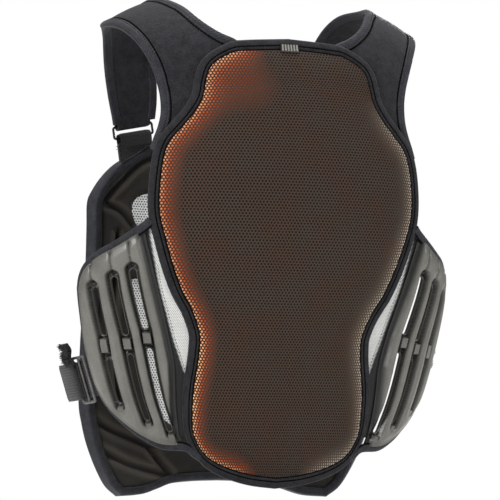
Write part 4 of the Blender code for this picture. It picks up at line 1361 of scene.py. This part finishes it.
def make_chest():
    tape = chest_outline()
    body = inset(tape, CHEST_TAPE - 0.0015)
    windows = window_loops()
    grooves = [sided(smooth(metres(line), MOULDED), side) for line in FOAM_GROOVES
               for side in (-1, 1)]
    flat = flat_mesh(body, windows, MOULDED, rims=(0.0012,), tracks=grooves,
                     rows_beside=(0.0008, 0.0027, 0.0046, 0.0066, 0.0088))
    dip, shoulder = foam_relief(flat[0], body, windows)
    inner = CHEST_FOAM[0] + 0.0046 * (1 - dip) - 0.0018 * shoulder
    foam = draped("foam_lining", drape_point, flat, inner, CHEST_FOAM[1], FINISH["foam"], 60)
    # Painted shade in the grooves and window rims, painted highlight on the groove shoulders.
    point_value(foam, "painted_light_and_shade", np.concatenate([0.25 + 0.75 * dip, np.full(len(dip), 0.6)]))
    point_value(foam, "painted_ridge_highlight", np.concatenate([0.8 * shoulder, np.zeros(len(dip))]))
    placed(foam, on("chest"), ["chest_foam"])

    flat = flat_mesh(body, (), MOULDED, rims=(0.001,))
    x, q = np.abs(flat[0][:, 0]), flat[0][:, 1]
    shield = inside(flat[0], whole(smooth(metres(SHELL_GROOVES[0]), FINE))) * 1.0
    keel = np.exp(-(x / 0.016) ** 2) * step_up(q, 0.44, 0.50) * shield
    recess = np.max([inside(flat[0], loop) * step_up(line_distance(flat[0], loop, closed=True),
                                                     0.0, 0.004) for loop in windows], axis=0)
    edge = step_up(line_distance(flat[0], body, closed=True), 0.0, 0.006)
    outer = CHEST_SHELL[1] - 0.0016 + 0.0016 * edge + 0.0022 * shield + 0.0020 * keel
    outer -= 0.0020 * recess
    groove = np.min([line_distance(flat[0], sided(smooth(metres(line), FINE), side))
                     for line in SHELL_GROOVES for side in (-1, 1)], axis=0)
    outer -= 0.0028 * np.exp(-(groove / 0.0019) ** 2)
    shell = draped("outer_shell", drape_point, flat, CHEST_SHELL[0] - 0.0008, outer,
                   FINISH["shell"], 60)
    placed(shell, on("chest"), ["chest_shell"])

    # Painted shade: a dark dish at each vent hole of the shell stands for its shaded inside.
    fields = windows + [whole(smooth(metres(KEEL_VENTS), OUTLINE_STEP))]
    spots = np.vstack([vent_field(loop, 0.0031, 0.0012) for loop in fields])
    spots = spots[line_distance(spots, body, closed=True) > 0.003]
    outwards = outward_of(drape_point, spots[:, 0], spots[:, 1])
    inner_face = layer(drape_point, spots[:, 0], spots[:, 1], CHEST_SHELL[0] - 0.0009)
    outer_lift = nearest_value(flat[0], outer, spots)
    outer_face = layer(drape_point, spots[:, 0], spots[:, 1], outer_lift + 0.0001)
    vents = grown("shell_vent_shade", TREES["vent"],
                  {"Hole Radius": 0.00074, "Dish Depth": 0.0005, "Shadow": FINISH["shadow"]},
                  point_mesh(np.vstack([inner_face, outer_face]),
                             outward=np.vstack([outwards, outwards])))
    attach(vents, "chest")

    section = rounded_section(0, CHEST_TAPE, 0.0008, 0.0180, 0.0034)
    edge = band("chest_binding", drape_point, tape, section, FINISH["binding"], closed=True)
    placed(edge, on("chest"), ["chest_tape"])
    for lift in (0.0007, 0.0181):
        stitch("chest_seam", drape_point, looped(inset(tape, CHEST_TAPE - 0.0018)), lift)
    for side in (-1, 1):
        for distance in (0.003, 0.006):
            run = sided(metres(CHEST_WEBBING[:3]), side)
            stitch("chest_seam", drape_point, run + [0, distance], 0.0066)
    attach(sew("chest_seam"), "chest")
    # Painted seam shadow: a black strip outside the chest binding.
    seam_shadow_strip("chest_outer_cord", drape_point, inset(tape, CHEST_TAPE + SHADOW_STRIP_GAP), 0.0172,
           on("chest"), True)


# ---------------------------------------------------------------- wings

def wing_columns(side):
    return [sided(metres(column), side) for column in SLOT_COLUMNS]


def slot_loops(side):
    return [stadium(start, end, SLOT_WIDTH) for top, upper, lower, foot in wing_columns(side)
            for start, end in ((top, upper), (lower, foot))]


def block(points, start, end, half_width, soft):
    """1 on a straight block between two flat points and 0 away from it."""
    span = end - start
    length = np.linalg.norm(span)
    along = (points - start) @ (span / length)
    across = np.abs((points - start) @ (np.array([-span[1], span[0]]) / length))
    return (step_up(along, -soft, 0) * step_up(length - along, -soft, 0)
            * step_up(half_width + soft - across, 0, soft))


def flange(points, side):
    """1 at the thin rear edge of a wing, falling to 0 on the ridge beside its last slots."""
    rear = line_distance(points, sided(metres(WING_REAR), side))
    return 1 - step_up(rear, 0.0030, 0.0098)


def wing_lift(points, side, outline):
    """Outer face of a wing: convex vanes, sunk channels, slot lips, bridges and end blocks."""
    lift = np.full(len(points), CHANNEL_LIFT)
    channel = np.full(len(points), 1.0)
    for column in wing_columns(side):
        channel = np.minimum(channel, line_distance(points, column))
    lift += VANE_RISE * (0.55 * step_up(channel, 0.0052, 0.0076)
                         + 0.45 * np.sin(np.clip((channel - 0.0055) / 0.0095, 0, 1) * math.pi / 2))
    lift += 0.0009 * np.exp(-((channel - 0.0084) / 0.0011) ** 2)
    edge = line_distance(points, outline, closed=True)
    lift -= 0.0022 * (1 - step_up(edge, 0.001, 0.010))
    lift -= 0.0052 * flange(points, side)
    for loop in slot_loops(side):
        slot = line_distance(points, loop, closed=True)
        lift += 0.0022 * np.exp(-((slot - 0.0007) / 0.0008) ** 2)
    for top, upper, lower, foot in wing_columns(side):
        along = unit(foot - lower)
        rise = unit(top - upper)
        bridge = block(points, upper + (lower - upper) * 0.14, upper + (lower - upper) * 0.72,
                       0.0046, 0.0008)
        lift = np.maximum(lift, (CHANNEL_LIFT + VANE_RISE * 0.78) * bridge)
        base = block(points, foot + along * 0.0022, foot + along * 0.0085, 0.0042, 0.0010)
        lift = np.maximum(lift, (CHANNEL_LIFT + VANE_RISE * 0.72) * base)
        crease = line_distance(points, [top + rise * 0.0035, top + rise * 0.030])
        lift -= 0.0024 * np.exp(-(crease / 0.0011) ** 2)
        under = block(points, upper + (lower - upper) * 0.76, upper + (lower - upper) * 0.86,
                      0.0046, 0.0004)
        lift -= 0.0010 * under
    return lift


def make_wing(side):
    body = named("wing", side)
    rear = smooth(metres(WING_REAR), OUTLINE_STEP)
    top_in, front_in, low_in = (beside(smooth(metres(edge), OUTLINE_STEP), 0.0020 - WING_BINDING)
                                for edge in (WING_TOP, WING_FRONT, WING_LOWER))
    top_in = top_in[top_in[:, 1] > front_in[0, 1]]
    low_in = low_in[low_in[:, 1] < front_in[-1, 1]]
    rear_in = rear[(rear[:, 1] < top_in[0, 1]) & (rear[:, 1] > low_in[-1, 1])]
    outline = sided(joined(top_in, front_in, low_in, rear_in[::-1]), side)
    slots = slot_loops(side)
    flat = flat_mesh(outline, slots, WING_GRID, rims=(0.0007, 0.0015))
    lift = wing_lift(flat[0], side, anticlockwise(outline))
    shell = draped(named("wing_vanes", side), wrap_point, flat, WING_FLOOR, lift,
                   FINISH["wing"], 50)
    # Painted light and shade: highlight on the vane crowns and slot lips, shade in the channels, on
    # the rear flange and on the inner face.
    painted_light_and_shade = step_up(lift, CHANNEL_LIFT + VANE_RISE * 0.30, CHANNEL_LIFT + VANE_RISE * 0.95)
    lips = np.min([line_distance(flat[0], slot, closed=True) for slot in slots], axis=0)
    painted_light_and_shade = np.maximum(painted_light_and_shade, 0.75 * np.exp(-((lips - 0.0006) / 0.0008) ** 2))
    painted_light_and_shade *= 1 - 0.8 * flange(flat[0], side)
    point_value(shell, "painted_light_and_shade", np.concatenate([np.full(len(lift), 0.1), painted_light_and_shade]))
    placed(shell, on(body), [named("wing_shell", side)])

    section = rounded_section(-0.0004, WING_BINDING, 0.0018, 0.0082, 0.0024, 0.0006)
    group = named("wing_seam", side)
    top_line = smooth(metres(TOP_TAPE_LEAD + WING_TOP), OUTLINE_STEP)
    low_line = smooth(metres(WING_FRONT + WING_LOWER[1:] + LOW_TAPE_TAIL), OUTLINE_STEP)
    for stem, line in (("wing_top_tape", top_line), ("wing_lower_tape", low_line)):
        edge = band(named(stem.replace("tape", "binding"), side), wrap_point, sided(line, side),
                    section, FINISH["binding"], turn=-side)
        placed(edge, on(body), [named(stem, side)])
        stitch(group, wrap_point, sided(beside(line, -WING_BINDING + 0.0018), side), 0.0083)
        # Painted seam shadow: a black strip beside the wing binding.
        seam_shadow_strip(named(stem.replace("tape", "cord"), side), wrap_point,
               sided(beside(line, -WING_BINDING - SHADOW_STRIP_GAP), side), 0.0078, on(body))
    rear_line = rear[(rear[:, 1] < -0.262) & (rear[:, 1] > -0.450)]
    stitch(group, wrap_point, sided(rear_line + [0.0026, 0], side), 0.0062)
    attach(sew(group), body)


def make_gusset(side):
    """White mesh between the border and the rear edge of the wing."""
    border = inset(full_border(FINE), BORDER_WIDTH / 2 - SEAM_GAP)
    border = border[(border[:, 0] > 0) & (border[:, 1] < -0.240) & (border[:, 1] > -0.466)]
    border = smooth(border[np.argsort(-border[:, 1])], FINE)
    wing = smooth(metres(WING_REAR), FINE)
    wing = wing[(wing[:, 1] < -0.244) & (wing[:, 1] > -0.466)] + [0.0030, 0]
    outline = sided(joined(border, wing[::-1]), side)
    flat = flat_mesh(outline, grid=GUSSET_GRID)
    line = smooth(metres(GUSSET_LINE), FINE)
    ends = np.interp(-flat[0][:, 1], -line[:, 1], line[:, 0])
    beyond = step_up(np.abs(flat[0][:, 0]) - ends, -0.0006, 0.0006)
    shade = np.maximum(beyond, step_up(-flat[0][:, 1], 0.4035, 0.4050))
    mesh = draped(named("gusset", side), wrap_point, flat, MESH_GUSSET[0],
                  MESH_GUSSET[1] + 0.0014 * shade, FINISH["white_mesh"])
    point_value(mesh, "shade", np.concatenate([shade, shade]))
    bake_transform(mesh)
    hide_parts(named("side_mesh", side))
    group = named("gusset_seam", side)
    sewn_line = line[(line[:, 1] < -0.285) & (line[:, 1] > -0.396)]
    for shift in (-0.0022, 0.0022):
        stitch(group, wrap_point, sided(sewn_line + [shift, 0], side), 0.0026 + max(0, shift) / 2)
    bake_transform(sew(group))


# ---------------------------------------------------------------- side straps

def slide_axes(side):
    """Long, forward and outward axes of a side slide."""
    up = (Vector(SLIDE_UP) * Vector((side, 1, 1))).normalized()
    forward = Vector(SLIDE_FORWARD) * Vector((side, 1, 1))
    forward = (forward - up * forward.dot(up)).normalized()
    outward = forward.cross(up).normalized()
    outward *= -1 if outward.x * side < 0 else 1
    return up, forward, outward


def make_side(side):
    """Three-bar slide, its webbing tab, the strap over its front bar and the chest's tab."""
    centre = Vector(SLIDE_CENTRE) * Vector((side, 1, 1))
    up, forward, outward = slide_axes(side)

    def place(flat):
        return in_plane(centre, forward, outward, flat, STRAP_STEP)

    slide = buckle(named("three_bar_slide", side), centre, up, forward, SLIDE_SIZE, SLIDE_BAR,
                   0.0026, 0.0013, FINISH["slide"])
    placed(slide, on(named("slide", side)), [named("side_slide", side)])
    tab = ribbon(named("slide_tab", side), place(WING_TAB + arc((0, 0), LOOP_RADIUS, -90, 60, 8)),
                 up, WEBBING_WIDTH, WEBBING_THICK, FINISH["webbing"])
    placed(tab, on(named("slide", side)), [named("wing_tab", side)])
    bar = SLIDE_SIZE[1] / 2 - RING_BAR / 2
    path = STRAP_RUN + arc((bar, 0), LOOP_RADIUS, 270, 90, 8) + STRAP_TAIL
    strap = ribbon(named("side_webbing", side), place(path), up, WEBBING_WIDTH, WEBBING_THICK,
                   FINISH["webbing"])
    placed(strap, on(named("side_strap", side)), [named("side_strap", side)])
    tab = ribbon(named("front_tab", side), place(CHEST_TAB), up, 0.036, WEBBING_THICK,
                 FINISH["webbing"])
    placed(tab, on("chest"), [named("chest_tab", side)])
    make_hook_tab(side, centre, up, forward, outward)


def make_hook_tab(side, centre, up, forward, outward):
    """Crumpled end of hook tape that stands up beside the slide, with its frayed nap."""
    path = in_plane(centre + forward * 0.0100, up, outward, HOOK_TAB, LOOP_STEP)
    tab = ribbon(named("hook_tab", side), path, forward, 0.0170, 0.0020, FINISH["webbing"])
    placed(tab, on(named("slide", side)), [])
    base = bpy.data.meshes.new("hook_nap_base")
    edges = [tuple(Vector(p) + forward * s + outward * 0.0010) for p in path
             for s in (-0.0085, 0.0085)]
    base.from_pydata(edges, [], [(k, k + 1, k + 3, k + 2) for k in range(0, len(edges) - 2, 2)])
    if base.polygons[0].normal.dot(outward) < 0:
        base.flip_normals()
    nap = grown(named("hook_nap", side), TREES["tuft"],
                {"Density": 1300000.0, "Height": 0.0045, "Thickness": 0.0005, "Seed": 4,
                 "Nylon": FINISH["hook"]}, base)
    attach(nap, named("slide", side))


# ---------------------------------------------------------------- studio

def aim(item, target):
    direction = Vector(target) - item.location
    item.rotation_euler = direction.to_track_quat("-Z", "Y").to_euler()


def area_light(name, place, target, size, power):
    data = bpy.data.lights.new(name, "AREA")
    data.size = size
    data.energy = power
    lamp = in_scene(name, data)
    lamp.location = place
    aim(lamp, target)


def make_studio():
    floor_mesh = bpy.data.meshes.new("floor")
    reach, level = 6.0, CAD_BOX[0].z - 0.06
    floor_mesh.from_pydata([(-reach, -reach, level), (reach, -reach, level),
                            (reach, reach, level), (-reach, reach, level)], [], [(0, 1, 2, 3)])
    floor = in_scene("studio_floor", floor_mesh)
    floor_mesh.materials.append(
        make_plain("matt_studio_paint", 0.9, ("#ececea", "#f2f2f0"), 0.5, 0.02))
    world = bpy.data.worlds.new("studio")
    world.use_nodes = True
    sky = world.node_tree.nodes["Background"]
    sky.inputs[0].default_value = (1, 1, 1, 1)
    seen = node(world.node_tree, "ShaderNodeLightPath")
    strength = node(world.node_tree, "ShaderNodeMapRange", {0: seen.outputs[0], 3: 0.30, 4: 1.0})
    world.node_tree.links.new(strength.outputs[0], sky.inputs[1])
    bpy.context.scene.world = world
    middle = (0, 0, -0.26)
    area_light("key", (-2.3, -1.5, 0.9), middle, 0.5, 54)
    area_light("fill", (2.3, -1.6, 0.5), middle, 0.9, 22)
    area_light("top", (0.1, 0.1, 1.9), middle, 0.9, 30)
    area_light("front", (1.4, 2.4, 0.7), middle, 0.8, 62)
    bpy.context.scene.view_settings.view_transform = "Standard"


def make_camera():
    """Camera behind the wearer, 20 degrees to the left and 4.5 degrees below level."""
    azimuth, elevation, distance = math.radians(-20), math.radians(-4.5), 3.6
    seen = 0.5375
    data = bpy.data.cameras.new("camera")
    data.sensor_width = 36
    data.lens = 36 * distance / seen
    camera = in_scene("camera", data)
    right = Vector((math.cos(azimuth), math.sin(azimuth), 0))
    back = Vector((math.sin(azimuth) * math.cos(elevation),
                   -math.cos(azimuth) * math.cos(elevation), math.sin(elevation)))
    target = Vector((0, 0, -0.262)) - right * 0.00645
    camera.location = target + back * distance
    camera.rotation_euler = (-back).to_track_quat("-Z", "Y").to_euler()
    bpy.context.scene.camera = camera


make_camera()
make_studio()
make_back()
make_chest()
for hand in (-1, 1):
    make_harness(hand)
    make_ring(hand)
    make_wing(hand)
    make_gusset(hand)
    make_side(hand)
